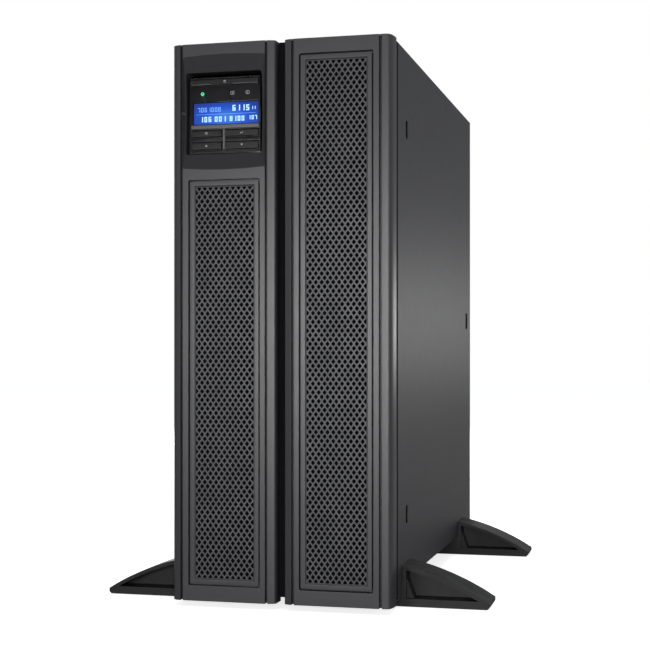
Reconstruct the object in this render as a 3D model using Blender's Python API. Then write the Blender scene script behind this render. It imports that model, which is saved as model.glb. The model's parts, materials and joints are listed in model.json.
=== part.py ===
"""Convertible 4U battery backup unit, standing as a tower.

The unit faces -Y, +X is its right side and +Z is up. The origin is on the floor under the middle of
its bounding box. Drawing sizes are in millimetres: x is across, d is the depth behind the bezels'
front plane and z is the height above the floor. Shapes are turned into metres as they are made.
"""
import math

import bmesh
import bpy
from mathutils import Matrix, Vector

MM = 0.001
GAP = 0.3                      # air between neighbouring pieces
SHEET = 1.2                    # folded steel sheet

# Overall sizes: four rack units of 44.45 mm wide, a 17 inch rack face high
HALF_WIDTH = 87.5              # chassis half width, 175 mm in all
OVERALL_DEPTH = 442.0
BEZEL_BOTTOM = 4.5
BEZEL_TOP = BEZEL_BOTTOM + 432.0
CHASSIS_FRONT = 19.0
CHASSIS_BACK = 430.0
CHASSIS_FLOOR = 17.5
CHASSIS_TOP = 435.0
COLLAR_BACK = 41.0             # the chassis front reaches lower than the rest, down to COLLAR_BOTTOM
COLLAR_BOTTOM = 7.0

# Bezels
BEZEL_INNER = 3.3
BEZEL_OUTER = 87.9
BEZEL_BACK = 17.0
FACE_INNER = 10.45
FACE_OUTER = 78.4
SLAB_BACK = 8.5
GRILLE_SPAN = (15.5, 73.2)
DISPLAY_GRILLE_Z = (16.5, 331.0)
BATTERY_GRILLE_Z = (16.0, 424.9)
DISH_Z = (340.0, 426.5)
DISH_DEPTH = 4.5

# Display pod
POD_X = (-73.7, -16.5)
POD_Z = (352.0, 411.2)
POD_FRONT = 5.0
POD_FACE_BACK = 8.0
POD_RIM_BACK = 9.9
POD_RIM = 0.9
POD_BACK = 46.0
POD_WELL_X = (-76.2, -14.6)
POD_WELL_Z = (351.0, 414.5)
LCD_X = (-70.8, -17.9)
LCD_Z = (374.4, 391.6)
POWER_X = (-72.6, -17.6)
POWER_Z = (404.6, 410.3)
KEY_COLUMNS = {"left": (-72.6, -47.4), "right": (-44.8, -17.6)}
KEY_ROWS = {"upper": (364.6, 370.6), "lower": (354.6, 361.4)}
KEY_FRONT = 4.7
KEY_FLANGE = 0.8
KEY_BACK = 9.2

# Stabiliser feet
FOOT_DEPTH = 38.5
FOOT_FRONTS = {"front": COLLAR_BACK + GAP, "rear": 342.0}
FOOT_ROOT_X = HALF_WIDTH + GAP
FOOT_ROOT_Z = 32.0
FOOT_TONGUE_X = 45.0
FOOT_BASE = 6.2
FOOT_WALL = 3.0
FOOT_TIP_X = 155.4
FOOT_ARC_RADIUS = 210.0
FOOT_ARC_START = 12.0          # degrees below level where the curve leaves the chassis
FOOT_ARC_END = 29.5

# Battery module
MODULE_X = (3.6, 82.4)
MODULE_Z = (20.4, 430.1)
MODULE_BACK = 352.0
PLATE_FRONT = 44.0
PLATE_BACK = 45.5
MODULE_MID_X = 43.0
BLOCK_COUNT = 4
BLOCK_HEIGHT = 98.0
BLOCK_PITCH = 101.5
BLOCK_X = (5.6, 70.6)
HANDLE_AXIS = (41.0, 250.0)    # depth and height of the bail's pivot
HANDLE_REACH = 24.0

# Back of the unit
PANEL_INNER = CHASSIS_BACK - SHEET
PORT_MID_X = -43.5
FAN_SIZE = 70.0
FAN_BORE = 33.0
FAN_Z = {"upper": 388.0, "lower": 64.0}
OUTLET_BLOCKS = {"upper": 275.0, "lower": 215.0}
OUTLET_BLOCK_SIZE = (66.0, 54.0)
OUTLET_FACE = 433.0
OUTLET_DEPTH = 18.0
INLET_Z = 124.0
BREAKER_X = {"left": -16.0, "right": -30.0}
BREAKER_Z = 164.0
COMM_Z = (312.0, 342.0)
COMM_X = (-77.0, -10.0)


def clear_scene():
    for obj in list(bpy.data.objects):
        bpy.data.objects.remove(obj, do_unlink=True)


def material(name, colour, roughness, metallic=0.0):
    mat = bpy.data.materials.get(name) or bpy.data.materials.new(name)
    mat.use_nodes = True
    shader = mat.node_tree.nodes["Principled BSDF"]
    shader.inputs["Base Color"].default_value = (*colour, 1.0)
    shader.inputs["Roughness"].default_value = roughness
    shader.inputs["Metallic"].default_value = metallic
    return mat


def place(x, d, z):
    """A drawing position as a point in metres."""
    return Vector((x * MM, (d - OVERALL_DEPTH / 2) * MM, z * MM))


# ---- shapes, each returned as its own bmesh ----

def block(x, d, z):
    """A box between pairs of x, depth and height."""
    bm = bmesh.new()
    low, high = place(min(x), min(d), min(z)), place(max(x), max(d), max(z))
    size = Matrix.Diagonal((*(high - low), 1.0))
    bmesh.ops.create_cube(bm, size=1.0, matrix=Matrix.Translation((low + high) / 2) @ size)
    return bm


def rod(centre, radius, d, segments=24):
    """A round bar along the depth axis, at centre (x, z)."""
    bm = bmesh.new()
    middle = place(centre[0], (d[0] + d[1]) / 2, centre[1])
    turn = Matrix.Rotation(math.pi / 2, 4, "X")
    bmesh.ops.create_cone(
        bm, cap_ends=True, segments=segments, radius1=radius * MM, radius2=radius * MM,
        depth=abs(d[1] - d[0]) * MM, matrix=Matrix.Translation(middle) @ turn)
    return bm


def cross_rod(centre, radius, x, segments=16):
    """A round bar across the unit, at centre (depth, z)."""
    bm = bmesh.new()
    middle = place((x[0] + x[1]) / 2, centre[0], centre[1])
    turn = Matrix.Rotation(math.pi / 2, 4, "Y")
    bmesh.ops.create_cone(
        bm, cap_ends=True, segments=segments, radius1=radius * MM, radius2=radius * MM,
        depth=abs(x[1] - x[0]) * MM, matrix=Matrix.Translation(middle) @ turn)
    return bm


def prism(outline, span, corner):
    """An outline pushed along one axis. corner(a, b, t) gives the point of (a, b) at t in span."""
    bm = bmesh.new()
    face = bm.faces.new([bm.verts.new(corner(a, b, span[0])) for a, b in outline])
    grown = bmesh.ops.extrude_face_region(bm, geom=[face])
    shift = corner(*outline[0], span[1]) - corner(*outline[0], span[0])
    moved = [v for v in grown["geom"] if isinstance(v, bmesh.types.BMVert)]
    bmesh.ops.translate(bm, verts=moved, vec=shift)
    bmesh.ops.recalc_face_normals(bm, faces=bm.faces)
    return bm


def upright_prism(outline, z):
    return prism(outline, z, lambda x, d, t: place(x, d, t))


def side_prism(outline, x):
    return prism(outline, x, lambda d, z, t: place(t, d, z))


def front_prism(outline, d):
    return prism(outline, d, lambda x, z, t: place(x, t, z))


def together(shapes):
    """Separate shapes gathered in one bmesh."""
    bm = bmesh.new()
    for shape in shapes:
        mesh = bpy.data.meshes.new("part_of_group")
        shape.to_mesh(mesh)
        bm.from_mesh(mesh)
        bpy.data.meshes.remove(mesh)
        shape.free()
    return bm


def mirrored(bm):
    """The same shape on the other side of the unit's middle plane."""
    bmesh.ops.scale(bm, vec=(-1.0, 1.0, 1.0), verts=bm.verts)
    bmesh.ops.reverse_faces(bm, faces=bm.faces)
    return bm


# ---- objects ----

def new_object(name, bm):
    mesh = bpy.data.meshes.new(name)
    bm.to_mesh(mesh)
    bm.free()
    obj = bpy.data.objects.new(name, mesh)
    bpy.context.scene.collection.objects.link(obj)
    return obj


def piece(name, mat, base, steps=(), origin=None):
    """One sub-part. steps lists ("add" or "cut", shape) in the order they are made."""
    obj = new_object(name, base)
    obj.data.materials.append(mat)
    for number, (kind, shape) in enumerate(steps):
        tool = new_object(f"{name}_{kind}_{number}", shape)
        tool.hide_render = True
        tool.display_type = "WIRE"
        mod = obj.modifiers.new(f"{kind}_{number}", "BOOLEAN")
        mod.operation = "UNION" if kind == "add" else "DIFFERENCE"
        mod.object = tool
    if origin is not None:
        obj.data.transform(Matrix.Translation(-origin))
        obj.location = origin
    obj.data.shade_smooth()
    obj.data.set_sharp_from_angle(angle=math.radians(30))
    return obj


# ---- chassis ----

def side_outline():
    """The chassis side seen square on: its front collar hangs lower than the rest."""
    return [(CHASSIS_FRONT, COLLAR_BOTTOM), (COLLAR_BACK, COLLAR_BOTTOM),
            (COLLAR_BACK, CHASSIS_FLOOR), (CHASSIS_BACK, CHASSIS_FLOOR),
            (CHASSIS_BACK, CHASSIS_TOP), (CHASSIS_FRONT, CHASSIS_TOP)]


def build_chassis(steel):
    inner = HALF_WIDTH - SHEET
    piece("chassis_pan", steel, side_prism(side_outline(), (-HALF_WIDTH, -inner)), [
        ("add", block((-HALF_WIDTH + 0.4, inner - GAP), (CHASSIS_FRONT, CHASSIS_BACK),
                      (CHASSIS_TOP - SHEET, CHASSIS_TOP))),
        ("add", block((-HALF_WIDTH + 0.4, inner - GAP), (COLLAR_BACK, CHASSIS_BACK),
                      (CHASSIS_FLOOR, CHASSIS_FLOOR + SHEET)))])

    slots = [block((inner - 2, HALF_WIDTH + 2), (d, d + width), (z, z + height))
             for d, width, z, height in ((59.0, 9.0, 366.5, 14.0), (59.0, 9.0, 62.0, 14.0),
                                         (396.5, 13.0, 221.5, 15.0))]
    piece("side_cover", steel, side_prism(side_outline(), (inner, HALF_WIDTH)),
          [("cut", together(slots))])

    piece("mid_partition", steel,
          block((-SHEET / 2, SHEET / 2), (COLLAR_BACK + GAP, PANEL_INNER - GAP),
                (CHASSIS_FLOOR + SHEET + GAP, CHASSIS_TOP - SHEET - GAP)),
          [("cut", together([block((-2, 2), (d, d + 60), (200, 203)) for d in (100, 200, 300)]))])
    piece("battery_guide_rail", steel,
          block((12, 74), (60, 350), (CHASSIS_FLOOR + SHEET + 0.2, MODULE_Z[0] - GAP)))


def build_front_frame(cast):
    z = (20.0, 430.5)
    left, right = (-83.0, -3.0), (3.0, 83.0)
    wall_front = 36.5
    slots = [block((-74.0, -12.0), (wall_front - 2, COLLAR_BACK + 2), (h, h + 3.5))
             for h in range(60, 320, 20)]
    piece("front_frame", cast,
          block((-86.0, 86.0), (CHASSIS_FRONT, COLLAR_BACK - GAP),
                (COLLAR_BOTTOM, CHASSIS_TOP - SHEET - GAP)),
          [("cut", block(right, (CHASSIS_FRONT - 2, COLLAR_BACK + 2), z)),
           ("cut", block(left, (CHASSIS_FRONT - 2, wall_front), z)),
           ("cut", together([block(POD_WELL_X, (wall_front - 2, COLLAR_BACK + 2), POD_WELL_Z)]
                            + slots))])


def foot_curve(inset=0.0, start_x=FOOT_ROOT_X, count=8):
    """Points (x, z) down the foot's arched top, inset below its skin."""
    first, last = math.radians(FOOT_ARC_START), math.radians(FOOT_ARC_END)
    centre = (FOOT_ROOT_X - FOOT_ARC_RADIUS * math.sin(first),
              FOOT_ROOT_Z - FOOT_ARC_RADIUS * math.cos(first))
    radius = FOOT_ARC_RADIUS - inset
    first = math.asin((start_x - centre[0]) / radius)
    for i in range(count + 1):
        a = first + (last - first) * i / count
        yield centre[0] + radius * math.sin(a), centre[1] + radius * math.cos(a)


def foot_pocket(d):
    """The hollow under the arch, which ends where the arch meets the base."""
    wall_x = FOOT_ROOT_X + FOOT_WALL
    arch = [p for p in foot_curve(FOOT_WALL, wall_x) if p[1] > FOOT_BASE + 0.5]
    tip = (arch[-1][0] + 2.0, FOOT_BASE)
    return front_prism([(wall_x, FOOT_BASE), tip] + arch[::-1], d)


def build_feet(plastic):
    outline = [(FOOT_TONGUE_X, 0.0), (FOOT_TIP_X - 1.8, 0.0), (FOOT_TIP_X, 1.6),
               (FOOT_TIP_X, 4.6)]
    outline += list(foot_curve())[::-1]
    outline += [(FOOT_ROOT_X, CHASSIS_FLOOR - GAP), (FOOT_TONGUE_X, CHASSIS_FLOOR - GAP)]
    web = 4.0
    for end, front in FOOT_FRONTS.items():
        back = front + FOOT_DEPTH
        middle = (front + back) / 2
        for side, flip in (("right", lambda bm: bm), ("left", mirrored)):
            piece(f"foot_{end}_{side}", plastic, flip(front_prism(outline, (front, back))), [
                ("cut", flip(foot_pocket((front - 5, middle - web / 2)))),
                ("cut", flip(foot_pocket((middle + web / 2, back + 5))))])


# ---- bezels ----

def bezel_outline():
    """Section of the right bezel, from its inner back corner round the front to its outer one."""
    return [(BEZEL_INNER, BEZEL_BACK), (BEZEL_INNER, 5.5), (4.3, 2.8), (7.0, 0.9),
            (FACE_INNER, 0.0), (FACE_OUTER, 0.0), (84.0, 0.9), (86.9, 2.7),
            (BEZEL_OUTER, 5.5), (BEZEL_OUTER, BEZEL_BACK)]


def bezel_cavity():
    wall = 2.5
    return block((BEZEL_INNER + wall, BEZEL_OUTER - wall), (SLAB_BACK, BEZEL_BACK + 3),
                 (BEZEL_BOTTOM + wall, BEZEL_TOP - wall))


def grille_seat(z, ledge=3.0):
    """The opening for a grille: full size in front, a ledge narrower behind it."""
    x = GRILLE_SPAN
    return [("cut", block(x, (-3, 6), z)),
            ("cut", block((x[0] + ledge, x[1] - ledge), (5, SLAB_BACK + 3),
                          (z[0] + ledge, z[1] - ledge)))]


def grille_plate(name, plastic, z, flip):
    """Grille frame with its mesh field set back, as one flat plate."""
    x = (GRILLE_SPAN[0] + 0.4, GRILLE_SPAN[1] - 0.4)
    rim = 4.6
    piece(name, plastic, flip(block(x, (0.6, 5.6), (z[0] + 0.4, z[1] - 0.4))),
          [("cut", flip(block((x[0] + rim, x[1] - rim), (-3, 3.2), (z[0] + rim, z[1] - rim))))])


def dish_cutter():
    """A shallow scoop across the display bezel's face, hollow from top to bottom."""
    half = (DISH_Z[1] - DISH_Z[0]) / 2
    middle = (DISH_Z[0] + DISH_Z[1]) / 2
    radius = (half ** 2 + DISH_DEPTH ** 2) / (2 * DISH_DEPTH)
    reach = math.asin(half / radius)
    count = 12
    arc = []
    for i in range(count + 1):
        a = reach * (2 * i / count - 1)
        arc.append((DISH_DEPTH - radius + radius * math.cos(a), middle + radius * math.sin(a)))
    return side_prism(arc + [(-8.0, DISH_Z[1]), (-8.0, DISH_Z[0])], (-FACE_OUTER, -FACE_INNER))


def build_bezels(plastic):
    z = (BEZEL_BOTTOM, BEZEL_TOP)
    piece("battery_bezel", plastic, upright_prism(bezel_outline(), z),
          [("cut", bezel_cavity())] + grille_seat(BATTERY_GRILLE_Z))
    grille_plate("battery_grille", plastic, BATTERY_GRILLE_Z, lambda bm: bm)

    well = 2.0
    seat = [(kind, mirrored(shape)) for kind, shape in grille_seat(DISPLAY_GRILLE_Z)]
    piece("display_bezel", plastic, mirrored(upright_prism(bezel_outline(), z)), [
        ("cut", mirrored(bezel_cavity())),
        ("add", block((POD_WELL_X[0] - well, POD_WELL_X[1] + well), (SLAB_BACK - 1, BEZEL_BACK - 1),
                      (POD_WELL_Z[0] - well, POD_WELL_Z[1] + well))),
        ("cut", block(POD_WELL_X, (-3, BEZEL_BACK + 3), POD_WELL_Z)),
        ("cut", dish_cutter())] + seat)
    grille_plate("display_grille", plastic, DISPLAY_GRILLE_Z, mirrored)


# ---- display pod ----

def build_pod(gloss, glass, board):
    wall = 1.8
    windows = [block(LCD_X, (POD_FRONT - 2, POD_FACE_BACK + 2), LCD_Z),
               block(POWER_X, (POD_FRONT - 2, POD_FACE_BACK + 2), POWER_Z)]
    windows += [block(x, (POD_FRONT - 2, POD_FACE_BACK + 2), z)
                for x in KEY_COLUMNS.values() for z in KEY_ROWS.values()]
    piece("pod_face", gloss, block(POD_X, (POD_FRONT, POD_RIM_BACK), POD_Z),
          [("cut", block((POD_X[0] + POD_RIM, POD_X[1] - POD_RIM), (POD_FACE_BACK, POD_RIM_BACK + 2),
                         (POD_Z[0] + POD_RIM, POD_Z[1] - POD_RIM))),
           ("cut", together(windows))])
    piece("pod_housing", gloss, block(POD_X, (POD_RIM_BACK + GAP, POD_BACK), POD_Z),
          [("cut", block((POD_X[0] + wall, POD_X[1] - wall), (POD_RIM_BACK - 2, POD_BACK - wall),
                         (POD_Z[0] + wall, POD_Z[1] - wall)))])
    piece("lcd_panel", glass, block((LCD_X[0] + GAP, LCD_X[1] - GAP), (5.8, POD_FACE_BACK),
                                    (LCD_Z[0] + GAP, LCD_Z[1] - GAP)))
    inset = wall + 0.7
    piece("display_board", board, block((POD_X[0] + inset, POD_X[1] - inset), (11.0, 12.6),
                                        (POD_Z[0] + inset, POD_Z[1] - inset)))


def push_key(name, plastic, x, z):
    """A key with a flange behind the face that keeps it in its window."""
    middle = ((x[0] + x[1]) / 2, (z[0] + z[1]) / 2)
    edge = POD_RIM + GAP
    flange_z = (max(z[0] - KEY_FLANGE, POD_Z[0] + edge), min(z[1] + KEY_FLANGE, POD_Z[1] - edge))
    flange_x = (max(x[0] - KEY_FLANGE, POD_X[0] + edge), min(x[1] + KEY_FLANGE, POD_X[1] - edge))
    piece(name, plastic, block((x[0] + 0.35, x[1] - 0.35), (KEY_FRONT, KEY_BACK - 0.5),
                               (z[0] + 0.35, z[1] - 0.35)),
          [("add", block(flange_x, (POD_FACE_BACK + GAP, KEY_BACK), flange_z))],
          origin=place(middle[0], KEY_FRONT, middle[1]))


def build_keys(plastic):
    push_key("power_button", plastic, POWER_X, POWER_Z)
    for row, z in KEY_ROWS.items():
        for column, x in KEY_COLUMNS.items():
            push_key(f"menu_key_{row}_{column}", plastic, x, z)


# ---- battery module ----

def build_battery(steel, cell, plastic, metal):
    x, z = MODULE_X, MODULE_Z
    tray_front = PLATE_BACK + 0.5
    piece("battery_tray", steel, block(x, (tray_front, MODULE_BACK), z),
          [("cut", block((x[0] + SHEET, x[1] + 3), (tray_front - 3, MODULE_BACK - SHEET),
                         (z[0] + SHEET, z[1] - SHEET)))])
    for i in range(BLOCK_COUNT):
        low = z[0] + SHEET + 1.0 + i * BLOCK_PITCH
        piece(f"battery_block_{i + 1}", cell,
              block(BLOCK_X, (tray_front + 1.5, MODULE_BACK - SHEET - 1.5),
                    (low, low + BLOCK_HEIGHT)))

    mid = MODULE_MID_X
    lug_holes = cross_rod(HANDLE_AXIS, 2.4, (mid - 30, mid + 30))
    lugs = [block((mid + side * 16.6, mid + side * 20.6), (38.0, PLATE_FRONT + 0.7),
                  (HANDLE_AXIS[1] - 5, HANDLE_AXIS[1] + 5)) for side in (-1, 1)]
    piece("battery_front_plate", steel,
          block((x[0] - 0.2, x[1] + 0.2), (PLATE_FRONT, PLATE_BACK), (z[0] + 0.2, z[1] - 0.2)),
          [("add", together(lugs)), ("cut", lug_holes)])

    low = HANDLE_AXIS[1] - HANDLE_REACH
    top = HANDLE_AXIS[1] + 0.9      # low enough to clear the plate as the handle swings
    front, back = HANDLE_AXIS[0] - 2.5, HANDLE_AXIS[0] + 2.5
    legs = [block((mid + side * 11.2, mid + side * 16.2), (front, back), (low, top))
            for side in (-1, 1)]
    piece("battery_handle", plastic,
          block((mid - 16.2, mid + 16.2), (front, back), (low - 3, low + 3)),
          [("add", together(legs)),
           ("add", together([cross_rod(HANDLE_AXIS, 2.0, (mid + side * 12.0, mid + side * 20.4))
                             for side in (-1, 1)]))],
          origin=place(mid, *HANDLE_AXIS))

    piece("battery_connector", plastic,
          block((mid - 13, mid + 13), (26.0, PLATE_FRONT - GAP), (72, 104)),
          [("cut", together([block((mid - 9, mid - 2), (24, 27.5), (78, 98)),
                             block((mid + 2, mid + 9), (24, 27.5), (78, 98))]))])
    for end, height in (("upper", 405.0), ("lower", 45.0)):
        slot = block((mid - 8, mid + 8), (32, 34.2), (height - 0.8, height + 0.8))
        piece(f"thumb_screw_{end}", metal, rod((mid, height), 7.0, (33.0, 41.0)),
              [("add", rod((mid, height), 4.5, (40.0, PLATE_FRONT - GAP))), ("cut", slot)],
              origin=place(mid, PLATE_FRONT, height))


# ---- back of the unit ----

def outlet_core_slots(centre, scale):
    """The three blade slots in an outlet's core."""
    x, z = centre
    d = (OUTLET_FACE - 12, OUTLET_FACE + 2)
    across = 7.0 * scale
    return [block((x - across - 1, x - across + 1), d, (z - 4 * scale, z + 1.5 * scale)),
            block((x + across - 1, x + across + 1), d, (z - 4 * scale, z + 1.5 * scale)),
            block((x - 1, x + 1), d, (z - 1.5, z + 4 * scale))]


def outlet_block(name, plastic, x, z, sockets, size, scale=1.0):
    """Sockets in one housing. Each is a core standing in a narrow moat."""
    channel = 2.6
    steps = [("cut", together([block((cx - size[0] / 2, cx + size[0] / 2),
                                     (OUTLET_FACE - OUTLET_DEPTH, OUTLET_FACE + 2),
                                     (cz - size[1] / 2, cz + size[1] / 2))
                               for cx, cz in sockets])),
             ("add", together([block((cx - size[0] / 2 + channel, cx + size[0] / 2 - channel),
                                     (OUTLET_FACE - OUTLET_DEPTH - 2, OUTLET_FACE - 0.8),
                                     (cz - size[1] / 2 + channel, cz + size[1] / 2 - channel))
                               for cx, cz in sockets])),
             ("cut", together([s for c in sockets for s in outlet_core_slots(c, scale)]))]
    piece(name, plastic, block(x, (405.0, OUTLET_FACE), z), steps)


def build_outlets(plastic):
    wide, tall = OUTLET_BLOCK_SIZE
    for name, middle in OUTLET_BLOCKS.items():
        sockets = [(PORT_MID_X + sx * 16.5, middle + sz * 13.5)
                   for sx in (-1, 1) for sz in (-1, 1)]
        outlet_block(f"outlet_block_{name}", plastic,
                     (PORT_MID_X - wide / 2, PORT_MID_X + wide / 2),
                     (middle - tall / 2, middle + tall / 2), sockets, (25.6, 18.2))
    outlet_block("outlet_large", plastic, (-77.0, -41.0), (147.0, 181.0), [(-59.0, 164.0)],
                 (31.0, 24.0), 1.3)


def build_inlet(plastic):
    mid, z, face = PORT_MID_X, INLET_Z, OUTLET_FACE
    pins = [block((mid - 7.5, mid - 5.5), (412, face - 4), (z - 8, z)),
            block((mid + 5.5, mid + 7.5), (412, face - 4), (z - 8, z)),
            block((mid - 1, mid + 1), (412, face - 4), (z + 2, z + 9.5))]
    piece("power_inlet", plastic, block((mid - 18, mid + 18), (408, face), (z - 14.5, z + 14.5)),
          [("add", block((mid - 25, mid + 25), (CHASSIS_BACK + GAP, face - 0.4), (z - 17, z + 17))),
           ("cut", block((mid - 14.5, mid + 14.5), (415, face + 3), (z - 11, z + 11))),
           ("add", together(pins))])


def build_breakers(plastic, button):
    for side, x in BREAKER_X.items():
        centre = (x, BREAKER_Z)
        piece(f"breaker_body_{side}", plastic, rod(centre, 5.2, (404, 433.0), 20),
              [("add", rod(centre, 6.5, (CHASSIS_BACK + GAP, 432.4), 6)),
               ("cut", rod(centre, 3.6, (420, 436), 20))])
        piece(f"breaker_button_{side}", button, rod(centre, 3.3, (424.0, 437.5), 20),
              origin=place(x, OUTLET_FACE, BREAKER_Z))


def build_comm_ports(plastic):
    face = 432.0
    z = 327.0
    jacks = [block((x - 6, x + 6), (418, face + 2), (z - 3.6, z + 3.6)) for x in (-66.0, -49.0)]
    square = block((-33.5, -25.0), (418, face + 2), (z - 4, z + 4))
    tongue = block((-32.1, -26.4), (416, face - 1), (z - 1.6, z + 1.6))
    terminal = [block((x - 1.4, x + 1.4), (422, face + 2), (z - 2, z + 2)) for x in (-18.0, -14.0)]
    piece("comm_ports", plastic, block((COMM_X[0], COMM_X[1]), (412, face), COMM_Z),
          [("cut", together(jacks + [square] + terminal)), ("add", tongue)])


def build_fans(plastic, steel):
    half = FAN_SIZE / 2
    back = PANEL_INNER - 0.4
    front = back - 20.4
    arm = half - 1.0
    depth = (front + 0.3, front + 3.0)
    for name, z in FAN_Z.items():
        x = PORT_MID_X
        piece(f"fan_frame_{name}", plastic,
              block((x - half, x + half), (front, back), (z - half, z + half)),
              [("cut", rod((x, z), FAN_BORE, (front - 3, back + 3), 32)),
               ("add", block((x - arm, x + arm), depth, (z - 1.8, z + 1.8))),
               ("add", block((x - 1.8, x + 1.8), depth, (z - arm, z + arm))),
               ("add", rod((x, z), 13.0, (front, front + 3.2), 20))])
        build_rotor(name, plastic, (x, z), front + 3.8, back - 1.2)
        build_guard(name, steel, (x, z))


def build_rotor(name, plastic, centre, front, back, blades=7):
    pitch = math.radians(38)
    shapes = []
    for i in range(blades):
        angle = 2 * math.pi * i / blades
        bm = bmesh.new()
        length, chord, thick = 20.5, 14.5, 1.4
        size = Matrix.Diagonal((length * MM, chord * MM, thick * MM, 1.0))
        out = Matrix.Translation(((10.8 + length / 2) * MM, 0, 0))
        where = Matrix.Translation(place(centre[0], (front + back) / 2, centre[1]))
        turn = Matrix.Rotation(angle, 4, "Y")
        bmesh.ops.create_cube(bm, size=1.0, matrix=(
            where @ turn @ out @ Matrix.Rotation(pitch, 4, "X") @ size))
        shapes.append(bm)
    piece(f"fan_rotor_{name}", plastic, rod(centre, 13.0, (front, back), 28),
          [("add", together(shapes))], origin=place(centre[0], (front + back) / 2, centre[1]))


def build_guard(name, steel, centre):
    d = (CHASSIS_BACK + GAP, CHASSIS_BACK + 2.0)
    past = (d[0] - 2, d[1] + 2)
    x, z = centre
    hollow = together([rod(centre, 31.5, past, 32)])
    ring = ("add", rod(centre, 22.5, d, 28))
    ring_hollow = ("cut", rod(centre, 19.5, past, 28))
    arms = [("add", block((x - 33, x + 33), d, (z - 1.2, z + 1.2))),
            ("add", block((x - 1.2, x + 1.2), d, (z - 33, z + 33)))]
    piece(f"fan_guard_{name}", steel, rod(centre, 34.5, d, 32),
          [("cut", hollow), ring, ring_hollow] + arms + [("add", rod(centre, 8.0, d, 20))])


def build_rear_panel(steel):
    z = (CHASSIS_FLOOR + SHEET + GAP, CHASSIS_TOP - SHEET - GAP)
    limit = HALF_WIDTH - SHEET - 2 * GAP
    past = (PANEL_INNER - 3, CHASSIS_BACK + 3)
    wide, tall = OUTLET_BLOCK_SIZE
    holes = [rod((PORT_MID_X, h), FAN_BORE, past, 32) for h in FAN_Z.values()]
    holes += [block((PORT_MID_X - wide / 2 - GAP, PORT_MID_X + wide / 2 + GAP), past,
                    (h - tall / 2 - GAP, h + tall / 2 + GAP)) for h in OUTLET_BLOCKS.values()]
    holes += [block((-77.0 - GAP, -41.0 + GAP), past, (147.0 - GAP, 181.0 + GAP)),
              block((PORT_MID_X - 18.3, PORT_MID_X + 18.3), past, (INLET_Z - 14.8, INLET_Z + 14.8)),
              block((COMM_X[0] - GAP, COMM_X[1] + GAP), past, (COMM_Z[0] - GAP, COMM_Z[1] + GAP))]
    holes += [rod((x, BREAKER_Z), 5.6, past, 20) for x in BREAKER_X.values()]
    vents = [block((14.0, 72.0), past, (h, h + 3.2)) for h in range(60, 260, 12)]
    piece("rear_panel", steel, block((-limit, limit), (PANEL_INNER, CHASSIS_BACK), z),
          [("cut", together(holes + vents))])


def build_rear_covers(steel, metal):
    d = (CHASSIS_BACK + GAP, CHASSIS_BACK + 1.8)
    piece("card_slot_cover", steel, block((18, 42), d, (300, 422)))
    piece("battery_port_cover", steel, block((50, 80), d, (340, 400)))
    stud = (65.0, 300.0)
    piece("ground_stud", metal, rod(stud, 2.5, (CHASSIS_BACK + GAP, OVERALL_DEPTH), 16),
          [("add", rod(stud, 5.6, (CHASSIS_BACK + GAP, CHASSIS_BACK + 5), 6))])


# ---- inside ----

def heatsink(name, metal, z, d, fins=7):
    base = (-79.5, -75.0)
    steps = []
    pitch = (z[1] - z[0] - 2.4) / (fins - 1)
    rows = [block((base[0] + 1, -46.0), (d[0] + 1, d[1] - 1),
                  (z[0] + i * pitch + 0.2, z[0] + i * pitch + 2.2)) for i in range(fins)]
    steps.append(("add", together(rows)))
    piece(name, metal, block(base, d, z), steps)


def build_inside(board, metal, core, can):
    piece("main_board", board, block((-82.0, -80.4), (70, 395), (120, 345)))
    piece("control_board", board, block((-14.0, -12.4), (70, 250), (150, 330)))
    heatsink("heatsink_upper", metal, (250, 335), (110, 250))
    heatsink("heatsink_lower", metal, (150, 235), (110, 250))
    cans = [cross_rod((d, z), 15.0, (-75.5, -34.0)) for d in (300, 336) for z in (180, 216, 252, 288)]
    piece("capacitor_bank", can, block((-79.5, -74), (280, 356), (160, 308)),
          [("add", together(cans))])
    piece("transformer", core, block((-78, -12), (140, 262), (26, 116)),
          [("add", block((-74, -16), (126, 276), (40, 102)))])


def main():
    clear_scene()
    steel = material("painted_steel", (0.075, 0.075, 0.085), 0.45, 0.3)
    zinc = material("zinc_steel", (0.55, 0.56, 0.58), 0.4, 0.9)
    cast = material("frame_black", (0.03, 0.03, 0.033), 0.6)
    bezel = material("bezel_charcoal", (0.06, 0.06, 0.068), 0.4)
    foot = material("foot_black", (0.035, 0.035, 0.038), 0.6)
    gloss = material("pod_black", (0.012, 0.012, 0.014), 0.2)
    glass = material("lcd_blue", (0.02, 0.1, 0.6), 0.1)
    board = material("circuit_board", (0.03, 0.16, 0.07), 0.5)
    cell = material("battery_case", (0.1, 0.1, 0.11), 0.5)
    metal = material("bright_metal", (0.7, 0.7, 0.72), 0.3, 1.0)
    core = material("core_steel", (0.2, 0.19, 0.18), 0.5, 0.8)
    can = material("capacitor_can", (0.05, 0.06, 0.1), 0.35)
    port = material("port_black", (0.02, 0.02, 0.022), 0.5)

    build_chassis(steel)
    build_front_frame(cast)
    build_feet(foot)
    build_bezels(bezel)
    build_pod(gloss, glass, board)
    build_keys(gloss)
    build_battery(zinc, cell, port, metal)
    build_rear_panel(steel)
    build_rear_covers(steel, metal)
    build_outlets(port)
    build_inlet(port)
    build_breakers(port, port)
    build_comm_ports(port)
    build_fans(port, zinc)
    build_inside(board, metal, core, can)


main()
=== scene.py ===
import json
import math

import bmesh
import bpy
from mathutils import Matrix, Vector


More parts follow.
